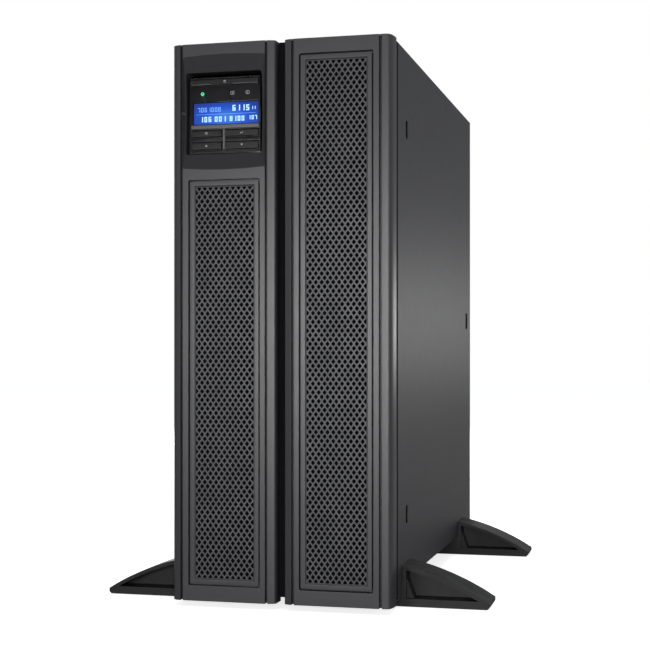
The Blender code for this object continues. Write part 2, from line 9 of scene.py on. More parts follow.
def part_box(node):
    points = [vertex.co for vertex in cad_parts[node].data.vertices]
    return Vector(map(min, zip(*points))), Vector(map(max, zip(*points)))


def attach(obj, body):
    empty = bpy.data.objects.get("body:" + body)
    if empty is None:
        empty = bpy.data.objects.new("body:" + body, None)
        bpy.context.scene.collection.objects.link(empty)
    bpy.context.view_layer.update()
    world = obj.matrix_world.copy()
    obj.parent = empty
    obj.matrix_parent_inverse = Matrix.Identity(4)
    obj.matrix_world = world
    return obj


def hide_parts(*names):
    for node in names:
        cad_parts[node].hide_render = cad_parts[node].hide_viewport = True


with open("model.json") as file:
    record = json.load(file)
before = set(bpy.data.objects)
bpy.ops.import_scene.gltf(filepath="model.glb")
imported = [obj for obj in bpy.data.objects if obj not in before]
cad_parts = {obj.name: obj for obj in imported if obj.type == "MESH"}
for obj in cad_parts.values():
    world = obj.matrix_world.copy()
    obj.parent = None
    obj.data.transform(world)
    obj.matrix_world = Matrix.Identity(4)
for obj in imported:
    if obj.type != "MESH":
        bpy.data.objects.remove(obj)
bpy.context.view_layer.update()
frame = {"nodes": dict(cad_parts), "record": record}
mm = 0.001
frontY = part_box("display_bezel")[0].y
scene = bpy.context.scene


def spot(x, d, z):
    return Vector((x * mm, frontY + d * mm, z * mm))


def spans(node):
    low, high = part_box(node)
    return {"x": (low.x / mm, high.x / mm), "z": (low.z / mm, high.z / mm),
            "d": ((low.y - frontY) / mm, (high.y - frontY) / mm)}


def middle(pair):
    return (pair[0] + pair[1]) / 2


def grown(pair, amount):
    return (pair[0] - amount, pair[1] + amount)


# Camera and studio first
cameraLook = {"place": (0.292, -1.290, 0.1975), "turn": 14.73, "lens": 80.31,
              "shiftRight": 0.0492, "shiftUp": 0.0417}
studioLook = {
    "backdrop": 1.0, "fill": 0.26, "floorTone": 0.93, "floorGlow": 0.76, "floorReturn": 0.25,
    "softboxes": [  # name, place, aim, width, height, watts
        ("rearRightSoftbox", (0.80, 1.55, 0.26), (0.09, 0.1, 0.24), 0.5, 0.16, 1.1),
        ("keySoftbox", (1.20, -0.75, 0.30), (0.03, -0.1, 0.22), 0.45, 0.40, 3.0),
        ("stripSoftbox", (0.75, -2.20, 0.27), (0.03, -0.2, 0.22), 0.4, 0.35, 10.0),
        ("edgeSoftbox", (0.26, -2.20, 0.27), (0.03, -0.2, 0.22), 0.3, 0.30, 6.0),
        ("faceSoftbox", (-0.38, -2.18, 0.27), (0.0, -0.2, 0.22), 0.4, 0.25, 8.0),
        ("leftSoftbox", (-1.1, -1.3, 0.5), (-0.05, -0.2, 0.2), 0.8, 0.8, 0.8),
        ("rearFillSoftbox", (-0.7, 2.1, 0.9), (0.0, 0.2, 0.22), 1.0, 1.0, 28.0),
        ("topSoftbox", (0.2, -0.2, 1.9), (0.05, 0.0, 0.0), 1.6, 1.6, 12.0)]}


def buildCamera():
    data = bpy.data.cameras.new("viewCamera")
    data.lens = cameraLook["lens"]
    data.sensor_width = 36.0
    data.shift_x = cameraLook["shiftRight"]
    data.shift_y = cameraLook["shiftUp"]
    camera = bpy.data.objects.new("viewCamera", data)
    camera.location = cameraLook["place"]
    camera.rotation_euler = (math.pi / 2, 0, math.radians(cameraLook["turn"]))
    scene.collection.objects.link(camera)
    scene.camera = camera


def buildStudio():
    scene.view_settings.view_transform = "Standard"
    world = bpy.data.worlds.new("studioWorld")
    world.use_nodes = True
    scene.world = world
    tree = world.node_tree
    fill = tree.nodes["Background"]
    fill.inputs["Color"].default_value = (0.96, 0.98, 1.0, 1.0)
    fill.inputs["Strength"].default_value = studioLook["fill"]
    backdrop = tree.nodes.new("ShaderNodeBackground")
    backdrop.inputs["Color"].default_value = (1.0, 1.0, 1.0, 1.0)
    backdrop.inputs["Strength"].default_value = studioLook["backdrop"]
    path = tree.nodes.new("ShaderNodeLightPath")
    mix = tree.nodes.new("ShaderNodeMixShader")
    tree.links.new(path.outputs["Is Camera Ray"], mix.inputs[0])
    tree.links.new(fill.outputs[0], mix.inputs[1])
    tree.links.new(backdrop.outputs[0], mix.inputs[2])
    tree.links.new(mix.outputs[0], tree.nodes["World Output"].inputs["Surface"])
    for name, place, aim, width, height, watts in studioLook["softboxes"]:
        data = bpy.data.lights.new(name, "AREA")
        data.shape = "RECTANGLE"
        data.size = width
        data.size_y = height
        data.energy = watts
        lamp = bpy.data.objects.new(name, data)
        lamp.location = place
        lamp.visible_camera = False
        lamp.rotation_euler = (Vector(aim) - Vector(place)).to_track_quat("-Z", "Y").to_euler()
        scene.collection.objects.link(lamp)


# Shapes, each its own bmesh

def slab(x, d, z):
    bm = bmesh.new()
    low, high = spot(min(x), min(d), min(z)), spot(max(x), max(d), max(z))
    size = Matrix.Diagonal((*(high - low), 1.0))
    bmesh.ops.create_cube(bm, size=1.0, matrix=Matrix.Translation((low + high) / 2) @ size)
    return bm


def bar(centre, radius, d, segments=32, endRadius=None):
    # a round bar along the depth, at centre (x, z); endRadius is its radius at the last depth
    bm = bmesh.new()
    turn = Matrix.Rotation(-math.pi / 2, 4, "X")
    bmesh.ops.create_cone(
        bm, cap_ends=True, segments=segments, radius1=radius * mm,
        radius2=(radius if endRadius is None else endRadius) * mm, depth=abs(d[1] - d[0]) * mm,
        matrix=Matrix.Translation(spot(centre[0], middle(d), centre[1])) @ turn)
    return bm


def crossBar(centre, radius, x, segments=24):
    # a round bar across the unit, at centre (depth, z)
    bm = bmesh.new()
    bmesh.ops.create_cone(
        bm, cap_ends=True, segments=segments, radius1=radius * mm, radius2=radius * mm,
        depth=abs(x[1] - x[0]) * mm,
        matrix=Matrix.Translation(spot(middle(x), *centre)) @ Matrix.Rotation(math.pi / 2, 4, "Y"))
    return bm


def thickened(bm, shift):
    # flat faces pushed along a vector into a solid
    made = bmesh.ops.extrude_face_region(bm, geom=bm.faces[:])
    bmesh.ops.translate(bm, verts=[v for v in made["geom"] if isinstance(v, bmesh.types.BMVert)],
                        vec=shift)
    bmesh.ops.recalc_face_normals(bm, faces=bm.faces)
    return bm


def pushed(points, shift):
    # an outline pushed along a vector into a solid
    bm = bmesh.new()
    bm.faces.new([bm.verts.new(p) for p in points])
    return thickened(bm, shift)


def facingFront(centre, d):
    # carries what is drawn flat on the floor to centre (x, z) at depth d, turned to the front
    place = Matrix.Translation(spot(centre[0], d, centre[1]))
    return place @ Matrix.Rotation(math.pi / 2, 4, "X")


def joined(shapes):
    bm = bmesh.new()
    for shape in shapes:
        mesh = bpy.data.meshes.new("joining")
        shape.to_mesh(mesh)
        bm.from_mesh(mesh)
        bpy.data.meshes.remove(mesh)
        shape.free()
    return bm


def mirrored(bm):
    bmesh.ops.scale(bm, vec=(-1, 1, 1), verts=bm.verts)
    bmesh.ops.reverse_faces(bm, faces=bm.faces)
    return bm


def copied(bm, matrix):
    twin = bm.copy()
    bmesh.ops.transform(twin, matrix=matrix, verts=twin.verts)
    return twin


def tidied(bm, flat=0.2):
    bmesh.ops.remove_doubles(bm, verts=bm.verts, dist=0.000008)
    bmesh.ops.dissolve_limit(bm, angle_limit=math.radians(flat), verts=bm.verts, edges=bm.edges)
    return bm


def crispEdges(bm, angle=30):
    return [e for e in bm.edges
            if len(e.link_faces) == 2 and e.calc_face_angle(0) > math.radians(angle)]


def softened(bm, width, segments=2, edges=None):
    bmesh.ops.bevel(bm, geom=crispEdges(bm) if edges is None else edges, offset=width * mm,
                    offset_type="OFFSET", segments=segments, profile=0.5, affect="EDGES",
                    clamp_overlap=True, material=-1)
    return bm


def roundedSlab(x, d, z, corner, segments=5):
    # a block with its four edges along the depth rounded
    bm = slab(x, d, z)
    along = []
    for edge in bm.edges:
        run = edge.verts[0].co - edge.verts[1].co
        if abs(run.y) > 0.5 * mm * (d[1] - d[0]) and max(abs(run.x), abs(run.z)) < 0.01 * mm:
            along.append(edge)
    return softened(bm, corner, segments, along)


def carved(base, steps):
    # base with each ("UNION" or "DIFFERENCE", shape) taken in turn
    made = []
    for shape in [base] + [shape for _, shape in steps]:
        mesh = bpy.data.meshes.new("carving")
        shape.to_mesh(mesh)
        shape.free()
        made.append(bpy.data.objects.new("carving", mesh))
        scene.collection.objects.link(made[-1])
    for tool, (kind, _) in zip(made[1:], steps):
        modifier = made[0].modifiers.new(kind, "BOOLEAN")
        modifier.operation = kind
        modifier.object = tool
    bpy.context.view_layer.update()
    evaluated = made[0].evaluated_get(bpy.context.evaluated_depsgraph_get())
    bm = bmesh.new()
    bm.from_mesh(evaluated.to_mesh())
    evaluated.to_mesh_clear()
    for obj in made:
        bpy.data.meshes.remove(obj.data)
    return tidied(bm)


def cadShape(node, flat=1.0):
    bm = bmesh.new()
    bm.from_mesh(frame["nodes"][node].data)
    return tidied(bm, flat)


slotOf = {part["node"]: part["material_slot"] for part in frame["record"]["subparts"]}
bodyOf = {node: body for body, nodes in frame["record"]["behaviour"]["bodies"].items()
          for node in nodes}


def makePiece(name, bm, material, body, nodes=(), slotName=None, sharp=50):
    mesh = bpy.data.meshes.new(name)
    bm.to_mesh(mesh)
    bm.free()
    mesh.materials.append(material)
    mesh.shade_smooth()
    mesh.set_sharp_from_angle(angle=math.radians(sharp))
    obj = bpy.data.objects.new(name, mesh)
    scene.collection.objects.link(obj)
    weighted = obj.modifiers.new("evenNormals", "WEIGHTED_NORMAL")
    weighted.keep_sharp = True
    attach(obj, body)
    if nodes:
        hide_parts(*nodes)
    slotName or slotOf[nodes[0]]
    return obj


def refine(node, name, material, edge, segments=2, steps=()):
    # the CAD shape with its edges rounded and small details added
    bm = softened(cadShape(node), edge, segments)
    if steps:
        bm = carved(bm, steps)
    return makePiece(name, bm, material, bodyOf[node], (node,))


# Materials

def addNode(tree, kind, values=None, **settings):
    node = tree.nodes.new(kind)
    for key, value in settings.items():
        setattr(node, key, value)
    for key, value in (values or {}).items():
        if isinstance(value, bpy.types.NodeSocket):
            tree.links.new(value, node.inputs[key])
        else:
            node.inputs[key].default_value = value
    return node


def startMaterial(name, colour, roughness, metallic=0.0):
    material = bpy.data.materials.new(name)
    material.use_nodes = True
    shader = material.node_tree.nodes["Principled BSDF"]
    shader.inputs["Base Color"].default_value = (*colour, 1.0)
    shader.inputs["Roughness"].default_value = roughness
    shader.inputs["Metallic"].default_value = metallic
    return material, material.node_tree, shader


def objectPlace(tree, stretch=None):
    place = addNode(tree, "ShaderNodeTexCoord").outputs["Object"]
    if stretch is None:
        return place
    return addNode(tree, "ShaderNodeMapping", {"Vector": place, "Scale": stretch}).outputs[0]


def noiseOf(tree, place, size, detail=2.0):
    # size is the width of one blotch in millimetres
    return addNode(tree, "ShaderNodeTexNoise",
                   {"Vector": place, "Scale": 1000.0 / size, "Detail": detail}).outputs["Fac"]


def rampOf(tree, factor, stops):
    ramp = addNode(tree, "ShaderNodeValToRGB", {"Fac": factor})
    while len(ramp.color_ramp.elements) < len(stops):
        ramp.color_ramp.elements.new(0.5)
    for element, (position, colour) in zip(ramp.color_ramp.elements, stops):
        element.position = position
        element.color = (*colour, 1.0)
    return ramp.outputs["Color"]


def rangeOf(tree, factor, low, high, start=0.3, end=0.7):
    return addNode(tree, "ShaderNodeMapRange",
                   {"Value": factor, "From Min": start, "From Max": end, "To Min": low,
                    "To Max": high}).outputs["Result"]


def bumpOf(tree, height, depth, strength=1.0, normal=None):
    values = {"Height": height, "Distance": depth * mm, "Strength": strength}
    if normal is not None:
        values["Normal"] = normal
    return addNode(tree, "ShaderNodeBump", values).outputs["Normal"]


def shaded(colour, share):
    return tuple(c * share for c in colour)


# What a finish has where its own dictionary says nothing; sizes and depths in millimetres
plainPlastic = {"toneSpread": 0.12, "blotch": 45.0, "glossSpread": 0.06, "glossBlotch": 9.0,
                "grain": 0.6, "grainDepth": 0.03, "peel": 2.5, "peelDepth": 0.02,
                "specular": 0.5, "coat": 0.0, "coatRoughness": 0.1}
bareMetal = {"lines": (0.05, 1, 1), "lineWidth": 0.25, "lineDepth": 0.01, "cloud": 12.0}


def grainedFinish(name, given):
    # moulded plastic or paint: soft blotches of tone, fine grain, uneven gloss
    look = {**plainPlastic, **given}
    material, tree, shader = startMaterial(name, look["colour"], look["roughness"])
    place = objectPlace(tree)
    spread = look["toneSpread"]
    blotch = noiseOf(tree, place, look["blotch"], 3.0)
    tree.links.new(rampOf(tree, blotch, [(0.3, shaded(look["colour"], 1 - spread)),
                                         (0.7, shaded(look["colour"], 1 + spread))]),
                   shader.inputs["Base Color"])
    gloss = noiseOf(tree, place, look["glossBlotch"], 4.0)
    tree.links.new(rangeOf(tree, gloss, look["roughness"] - look["glossSpread"],
                           look["roughness"] + look["glossSpread"]), shader.inputs["Roughness"])
    grain = addNode(tree, "ShaderNodeTexVoronoi",
                    {"Vector": place, "Scale": 1000.0 / look["grain"]},
                    feature="SMOOTH_F1").outputs["Distance"]
    waves = bumpOf(tree, noiseOf(tree, place, look["peel"], 2.0), look["peelDepth"])
    tree.links.new(bumpOf(tree, grain, look["grainDepth"], 0.7, waves), shader.inputs["Normal"])
    shader.inputs["Specular IOR Level"].default_value = look["specular"]
    shader.inputs["Coat Weight"].default_value = look["coat"]
    shader.inputs["Coat Roughness"].default_value = look["coatRoughness"]
    return material


def metalFinish(name, given):
    # bare metal: fine lines along one way and a faint cloudiness
    look = {**bareMetal, **given}
    material, tree, shader = startMaterial(name, look["colour"], look["roughness"], 1.0)
    place = objectPlace(tree)
    lines = noiseOf(tree, objectPlace(tree, look["lines"]), look["lineWidth"], 3.0)
    cloud = noiseOf(tree, place, look["cloud"], 4.0)
    tree.links.new(rampOf(tree, cloud, [(0.3, shaded(look["colour"], 0.82)),
                                        (0.7, shaded(look["colour"], 1.1))]),
                   shader.inputs["Base Color"])
    tree.links.new(rangeOf(tree, lines, look["roughness"] - 0.08, look["roughness"] + 0.1),
                   shader.inputs["Roughness"])
    tree.links.new(bumpOf(tree, lines, look["lineDepth"], 0.6), shader.inputs["Normal"])
    return material


def zincFinish(name, look):
    # plated sheet with a faint crystal pattern
    material, tree, shader = startMaterial(name, look["colour"], look["roughness"], 0.85)
    place = objectPlace(tree)
    crystals = addNode(tree, "ShaderNodeTexVoronoi", {"Vector": place, "Scale": 1000.0 / 7.0})
    tone = addNode(tree, "ShaderNodeSeparateColor", {"Color": crystals.outputs["Color"]})
    tree.links.new(rampOf(tree, tone.outputs[0], [(0.0, shaded(look["colour"], 0.8)),
                                                  (1.0, shaded(look["colour"], 1.08))]),
                   shader.inputs["Base Color"])
    tree.links.new(rangeOf(tree, tone.outputs[1], look["roughness"] - 0.07,
                           look["roughness"] + 0.09, 0.0, 1.0), shader.inputs["Roughness"])
    tree.links.new(bumpOf(tree, noiseOf(tree, place, 1.5, 3.0), 0.01), shader.inputs["Normal"])
    return material


def foamFinish(name, look):
    material, tree, shader = startMaterial(name, look["colour"], 0.95)
    cells = addNode(tree, "ShaderNodeTexVoronoi",
                    {"Vector": objectPlace(tree), "Scale": 1000.0 / look["cell"]})
    tree.links.new(rampOf(tree, cells.outputs["Distance"],
                          [(0.1, shaded(look["colour"], 0.3)), (0.6, look["colour"])]),
                   shader.inputs["Base Color"])
    tree.links.new(bumpOf(tree, cells.outputs["Distance"], 0.6), shader.inputs["Normal"])
    shader.inputs["Specular IOR Level"].default_value = 0.1
    return material


def boardFinish(name, look):
    # solder mask with copper tracks and bright pads
    material, tree, shader = startMaterial(name, look["colour"], 0.35)
    place = objectPlace(tree)
    tracks = addNode(tree, "ShaderNodeTexBrick", {
        "Vector": place, "Scale": 1000.0 / 9.0, "Mortar Size": 0.035, "Mortar Smooth": 0.1,
        "Color1": (*look["colour"], 1.0), "Color2": (*shaded(look["colour"], 0.75), 1.0),
        "Mortar": (*look["track"], 1.0)})
    pads = addNode(tree, "ShaderNodeTexVoronoi", {"Vector": place, "Scale": 1000.0 / 5.0})
    padMask = rangeOf(tree, pads.outputs["Distance"], 1.0, 0.0, 0.12, 0.16)
    mix = addNode(tree, "ShaderNodeMixRGB", {"Fac": padMask, "Color1": tracks.outputs["Color"],
                                             "Color2": (*look["pad"], 1.0)})
    tree.links.new(mix.outputs[0], shader.inputs["Base Color"])
    tree.links.new(bumpOf(tree, tracks.outputs["Fac"], 0.03), shader.inputs["Normal"])
    return material


def bandedFinish(name, look):
    # stacked laminations or wound wire: fine bands across one axis
    material, tree, shader = startMaterial(name, look["colour"], look["roughness"],
                                           look["metallic"])
    bands = addNode(tree, "ShaderNodeTexWave",
                    {"Vector": objectPlace(tree), "Scale": 1000.0 / look["pitch"] / 6.28 * 2},
                    bands_direction=look["across"]).outputs["Fac"]
    tree.links.new(rampOf(tree, bands, [(0.2, shaded(look["colour"], 0.45)),
                                        (0.6, look["colour"])]), shader.inputs["Base Color"])
    tree.links.new(bumpOf(tree, bands, look["pitch"] * 0.4), shader.inputs["Normal"])
    return material


def screenFinish(name, look, area):
    # backlit panel: brighter towards its lower middle, with a fine dot grid
    material, tree, shader = startMaterial(name, look["dark"], look["roughness"])
    low, high = area["z"]
    centre = spot(middle(area["x"]), 0, low + look["glowRise"] * (high - low))
    wide, tall = look["glowReach"]
    place = addNode(tree, "ShaderNodeTexCoord").outputs["Object"]
    shift = addNode(tree, "ShaderNodeVectorMath",
                    {0: place, 1: (centre.x, 0, centre.z)}, operation="SUBTRACT")
    squeeze = addNode(tree, "ShaderNodeVectorMath",
                      {0: shift.outputs[0], 1: (1000.0 / wide, 0.0, 1000.0 / tall)},
                      operation="MULTIPLY")
    reach = addNode(tree, "ShaderNodeVectorMath", {0: squeeze.outputs[0]}, operation="LENGTH")
    glow = rampOf(tree, reach.outputs["Value"], [(0.0, look["bright"]), (0.55, look["main"]),
                                                 (1.0, look["dark"])])
    dots = addNode(tree, "ShaderNodeTexVoronoi",
                   {"Vector": place, "Scale": 1000.0 / look["dot"], "Randomness": 0.0})
    dim = rampOf(tree, dots.outputs["Distance"], [(0.35, (1, 1, 1)), (0.6, (0.82, 0.84, 0.9))])
    mix = addNode(tree, "ShaderNodeMixRGB", {"Fac": 1.0, "Color1": glow, "Color2": dim},
                  blend_type="MULTIPLY")
    tree.links.new(mix.outputs[0], shader.inputs["Emission Color"])
    shader.inputs["Emission Strength"].default_value = look["strength"]
    shader.inputs["Coat Weight"].default_value = look["coat"]
    return material


def glowFinish(name, colour, strength):
    # lit mark under a faintly uneven diffuser
    material, tree, shader = startMaterial(name, shaded(colour, 0.6), 0.4)
    soft = noiseOf(tree, objectPlace(tree), 1.2)
    tree.links.new(rampOf(tree, soft, [(0.3, shaded(colour, 0.85)), (0.7, colour)]),
                   shader.inputs["Emission Color"])
    shader.inputs["Emission Strength"].default_value = strength
    return material


finishLooks = {
    "chassisPaint": {"colour": (0.034, 0.034, 0.038), "roughness": 0.42, "specular": 0.25,
                     "grain": 0.8, "grainDepth": 0.015, "peel": 2.2, "peelDepth": 0.004,
                     "toneSpread": 0.03, "blotch": 120.0, "glossSpread": 0.01},
    # the frame's own black, darkened and nearly without gloss so its seam fillers read as painted
    # shade
    "frameBlackAndSeamShade": {"colour": (0.004, 0.004, 0.005), "roughness": 0.8, "specular": 0.08,
                   "grainDepth": 0.04},
    "bezelPlastic": {"colour": (0.040, 0.039, 0.043), "roughness": 0.32, "grain": 0.5,
                     "grainDepth": 0.010, "peelDepth": 0.002, "toneSpread": 0.03, "blotch": 60.0,
                     "glossSpread": 0.01},
    "grillePaint": {"colour": (0.075, 0.074, 0.080), "roughness": 0.38, "grain": 0.5,
                    "grainDepth": 0.02, "toneSpread": 0.18, "blotch": 14.0},
    "footPlastic": {"colour": (0.013, 0.013, 0.014), "roughness": 0.48, "specular": 0.3,
                    "grain": 0.7, "grainDepth": 0.05, "toneSpread": 0.1},
    "podGloss": {"colour": (0.018, 0.018, 0.020), "roughness": 0.3, "grain": 1.2,
                 "grainDepth": 0.006, "peelDepth": 0.004, "glossSpread": 0.04, "coat": 0.5},
    "keyGloss": {"colour": (0.005, 0.005, 0.006), "roughness": 0.34, "specular": 0.3, "grain": 0.9,
                 "grainDepth": 0.008, "peelDepth": 0.004, "glossSpread": 0.05},
    "socketPlastic": {"colour": (0.014, 0.014, 0.016), "roughness": 0.45, "grainDepth": 0.03},
    "fanPlastic": {"colour": (0.018, 0.018, 0.020), "roughness": 0.5, "grainDepth": 0.03},
    "breakerPlastic": {"colour": (0.022, 0.022, 0.024), "roughness": 0.4, "grainDepth": 0.02},
    "batteryCasePlastic": {"colour": (0.045, 0.047, 0.052), "roughness": 0.5, "grain": 0.9,
                           "grainDepth": 0.06},
    "canSleeve": {"colour": (0.02, 0.03, 0.07), "roughness": 0.3, "grainDepth": 0.01},
    "labelPaper": {"colour": (0.55, 0.55, 0.54), "roughness": 0.6, "grainDepth": 0.01},
    "terminalGreen": {"colour": (0.02, 0.16, 0.06), "roughness": 0.4, "grainDepth": 0.02},
    # the dish's duller gloss is its own; its darker colour is painted shade
    "dishPlasticPaintedShade": {"colour": (0.026, 0.026, 0.028), "roughness": 0.6, "specular": 0.15,
                    "grain": 0.5, "grainDepth": 0.010, "toneSpread": 0.03, "blotch": 60.0},
    "trimGrey": {"colour": (0.095, 0.098, 0.096), "roughness": 0.35, "grainDepth": 0.005},
    "markPaint": {"colour": (0.42, 0.43, 0.45), "roughness": 0.5, "grainDepth": 0.005},
    "wireRed": {"colour": (0.35, 0.02, 0.015), "roughness": 0.45, "grainDepth": 0.01},
}
metalLooks = {
    "steelScrew": {"colour": (0.35, 0.35, 0.36), "roughness": 0.32},
    "nickel": {"colour": (0.60, 0.60, 0.60), "roughness": 0.28},
    "brass": {"colour": (0.62, 0.45, 0.16), "roughness": 0.3},
    "aluminium": {"colour": (0.55, 0.56, 0.58), "roughness": 0.4, "lines": (1, 0.05, 1)},
}
screenLook = {"dark": (0.004, 0.022, 0.17), "main": (0.007, 0.070, 0.50),
              "bright": (0.06, 0.25, 0.72), "strength": 1.0, "roughness": 0.12, "coat": 0.6,
              "glowRise": 0.3, "glowReach": (34.0, 13.5), "dot": 0.55}
finishes = {name: grainedFinish(name, look) for name, look in finishLooks.items()}
finishes.update({name: metalFinish(name, look) for name, look in metalLooks.items()})
finishes["zincSheet"] = zincFinish("zincSheet", {"colour": (0.50, 0.51, 0.52), "roughness": 0.4})
finishes["filterFoam"] = foamFinish("filterFoam", {"colour": (0.006, 0.006, 0.007), "cell": 0.9})
finishes["circuitBoard"] = boardFinish("circuitBoard", {
    "colour": (0.012, 0.085, 0.035), "track": (0.03, 0.17, 0.07), "pad": (0.45, 0.4, 0.3)})
finishes["coreSteel"] = bandedFinish("coreSteel", {
    "colour": (0.16, 0.155, 0.15), "roughness": 0.5, "metallic": 0.7, "pitch": 1.0, "across": "X"})
finishes["copperWinding"] = bandedFinish("copperWinding", {
    "colour": (0.45, 0.16, 0.05), "roughness": 0.35, "metallic": 0.9, "pitch": 1.6, "across": "Z"})
finishes["greenLamp"] = glowFinish("greenLamp", (0.05, 0.75, 0.30), 1.0)
finishes["screenInk"] = glowFinish("screenInk", (0.42, 0.66, 1.0), 1.0)
finishes["screenInkFaint"] = glowFinish("screenInkFaint", (0.16, 0.38, 0.86), 1.0)
finishes["screenGlow"] = screenFinish("screenGlow", screenLook, spans("lcd_panel"))
print("finishes ready")


# Bezels: a shell whose section is the same from bottom to top
bezelLook = {"innerCorner": (1.7, 3.3), "innerSlope": 1.8, "stripBack": 0.1, "stripLean": 0.6,
             "outerCurve": {"battery": (3.6, 15.4), "display": (6.2, 11.5)},
             "grooveAt": (7.15, 75.4), "grooveWidth": 2.1, "grooveDepth": 4.8, "edge": 0.35,
             "capHeight": 1.4, "capDepth": (0.9, 6.5), "capOverlap": 0.2,
             "wall": 2.5, "slabBack": 8.5, "openingGap": 0.4, "openingCorner": 1.6, "ledge": 3.0,
             "curveSteps": 10}
dishLook = {"z": (340.0, 426.5), "depth": 4.5, "bulge": 0.32, "overrun": 1.12, "steps": 28}
wellLook = {"out": 2.5, "in": 1.9, "down": 1.0, "up": 3.3, "wall": 2.0, "corner": 2.2}


def quarter(centre, size, start, steps):
    # points (x, d) round a quarter of an ellipse
    for i in range(steps + 1):
        a = math.radians(start + 90 * i / steps)
        yield centre[0] + size[0] * math.cos(a), centre[1] + size[1] * math.sin(a)


def bezelSection(kind):
    # half section of the right-hand bezel, from its inner back corner round to the outer one
    box = spans("battery_bezel")
    inner, outer = box["x"]
    back = box["d"][1]
    half, sink = bezelLook["grooveWidth"] / 2, bezelLook["grooveDepth"]
    lip = bezelLook["stripBack"]
    grooves = [inner + g for g in bezelLook["grooveAt"]]
    across, deep = bezelLook["innerCorner"]
    steps = bezelLook["curveSteps"]
    points = [(inner, back)]
    points += quarter((inner + across, bezelLook["innerSlope"] + deep), (across, deep), 180, steps)
    points += [(grooves[0] - half, lip),
               (grooves[0] - half, lip + sink), (grooves[0] + half, lip + sink),
               (grooves[0] + half, 0.0), (grooves[1] - half, 0.0),
               (grooves[1] - half, lip + sink), (grooves[1] + half, lip + sink),
               (grooves[1] + half, lip)]
    across, deep = bezelLook["outerCurve"][kind]
    lip += bezelLook["stripLean"]
    points += quarter((outer - across, lip + deep), (across, deep), 270, steps)
    return points + [(outer, back)]


def bezelShell(kind):
    low, high = spans("battery_bezel")["z"]
    return pushed([spot(x, d, low) for x, d in bezelSection(kind)], (0, 0, (high - low) * mm))


def grooveCaps():
    # the grooves stop just short of the top, so that no light shows through there
    box = spans("battery_bezel")
    half = bezelLook["grooveWidth"] / 2 + bezelLook["capOverlap"]
    left, high = box["x"][0], box["z"][1]
    return [("UNION", slab((left + g - half, left + g + half), bezelLook["capDepth"],
                           (high - bezelLook["capHeight"], high)))
            for g in bezelLook["grooveAt"]]


def bezelHollow():
    box = spans("battery_bezel")
    wall = bezelLook["wall"]
    return slab(grown(box["x"], -wall), (bezelLook["slabBack"], box["d"][1] + 3),
                grown(box["z"], -wall))


def grilleOpening(node):
    box = spans(node)
    x = sorted(abs(v) for v in box["x"])
    x, z = grown(x, bezelLook["openingGap"]), grown(box["z"], bezelLook["openingGap"])
    ledge = bezelLook["ledge"]
    return [("DIFFERENCE", roundedSlab(x, (-3, 6), z, bezelLook["openingCorner"])),
            ("DIFFERENCE", slab(grown(x, -ledge), (5, bezelLook["slabBack"] + 3),
                                grown(z, -ledge)))]


def dishScoop(x):
    # the arc from the dish's bottom to its top, swept across with a slight crown
    low, high = dishLook["z"]
    half, deep = (high - low) / 2, dishLook["depth"]
    radius = (half ** 2 + deep ** 2) / (2 * deep)
    width = (x[1] - x[0]) / 2
    crown = (width ** 2) / (2 * dishLook["bulge"])
    reach, steps = math.asin(half / radius) * dishLook["overrun"], dishLook["steps"]
    bm = bmesh.new()
    arc = [bm.verts.new(spot(middle(x), deep + dishLook["bulge"] - radius * (1 - math.cos(a)),
                             middle((low, high)) + radius * math.sin(a)))
           for a in (reach * (2 * i / steps - 1) for i in range(steps + 1))]
    rim = [bm.edges.new(pair) for pair in zip(arc, arc[1:])]
    hub = spot(middle(x), deep + dishLook["bulge"] - crown, 0)
    turn = math.asin(width / crown)
    bmesh.ops.rotate(bm, verts=bm.verts, cent=hub, matrix=Matrix.Rotation(-turn, 3, "Z"))
    bmesh.ops.spin(bm, geom=arc + rim, cent=hub, axis=(0, 0, 1), angle=2 * turn, steps=4)
    made = bmesh.ops.extrude_face_region(bm, geom=bm.faces[:])
    for v in made["geom"]:
        if isinstance(v, bmesh.types.BMVert):
            v.co.y = spot(0, -9, 0).y
    bmesh.ops.recalc_face_normals(bm, faces=bm.faces)
    return bm


def buildBezels():
    shell = carved(bezelShell("battery"), [("DIFFERENCE", bezelHollow())]
                   + grilleOpening("battery_grille") + grooveCaps())
    makePiece("batteryBezelShell", softened(shell, bezelLook["edge"]), finishes["bezelPlastic"],
              "battery_bezel", ("battery_bezel",))

    pod = spans("pod_face")
    x = sorted(abs(v) for v in pod["x"])
    wellX = (x[0] - wellLook["in"], x[1] + wellLook["out"])
    wellZ = (pod["z"][0] - wellLook["down"], pod["z"][1] + wellLook["up"])
    inner = spans("battery_bezel")["x"][0]
    half = bezelLook["grooveWidth"] / 2
    face = (inner + bezelLook["grooveAt"][0] + half, inner + bezelLook["grooveAt"][1] - half)
    back = spans("battery_bezel")["d"][1]
    shell = carved(bezelShell("display"), [
        ("DIFFERENCE", bezelHollow()),
        ("UNION", slab(grown(wellX, wellLook["wall"]), (bezelLook["slabBack"] - 1, back - 1),
                       grown(wellZ, wellLook["wall"]))),
        ("DIFFERENCE", roundedSlab(wellX, (-4, back + 3), wellZ, wellLook["corner"])),
        ("DIFFERENCE", dishScoop(face))] + grilleOpening("display_grille") + grooveCaps())
    bezel = makePiece("displayBezelShell", mirrored(softened(shell, bezelLook["edge"])),
                      finishes["bezelPlastic"], "display_bezel", ("display_bezel",))
    bezel.data.materials.append(finishes["dishPlasticPaintedShade"])
    low, high = dishLook["z"]
    for polygon in bezel.data.polygons:  # the dish is a duller plastic than the face round it, its darker colour painted shade
        depth = (polygon.center.y - frontY) / mm
        if (0.12 < depth < dishLook["depth"] + 0.6 and low < polygon.center.z / mm < high
                and polygon.normal.y < -0.9 and face[0] < -polygon.center.x / mm < face[1]):
            polygon.material_index = 1
    print("bezels built")


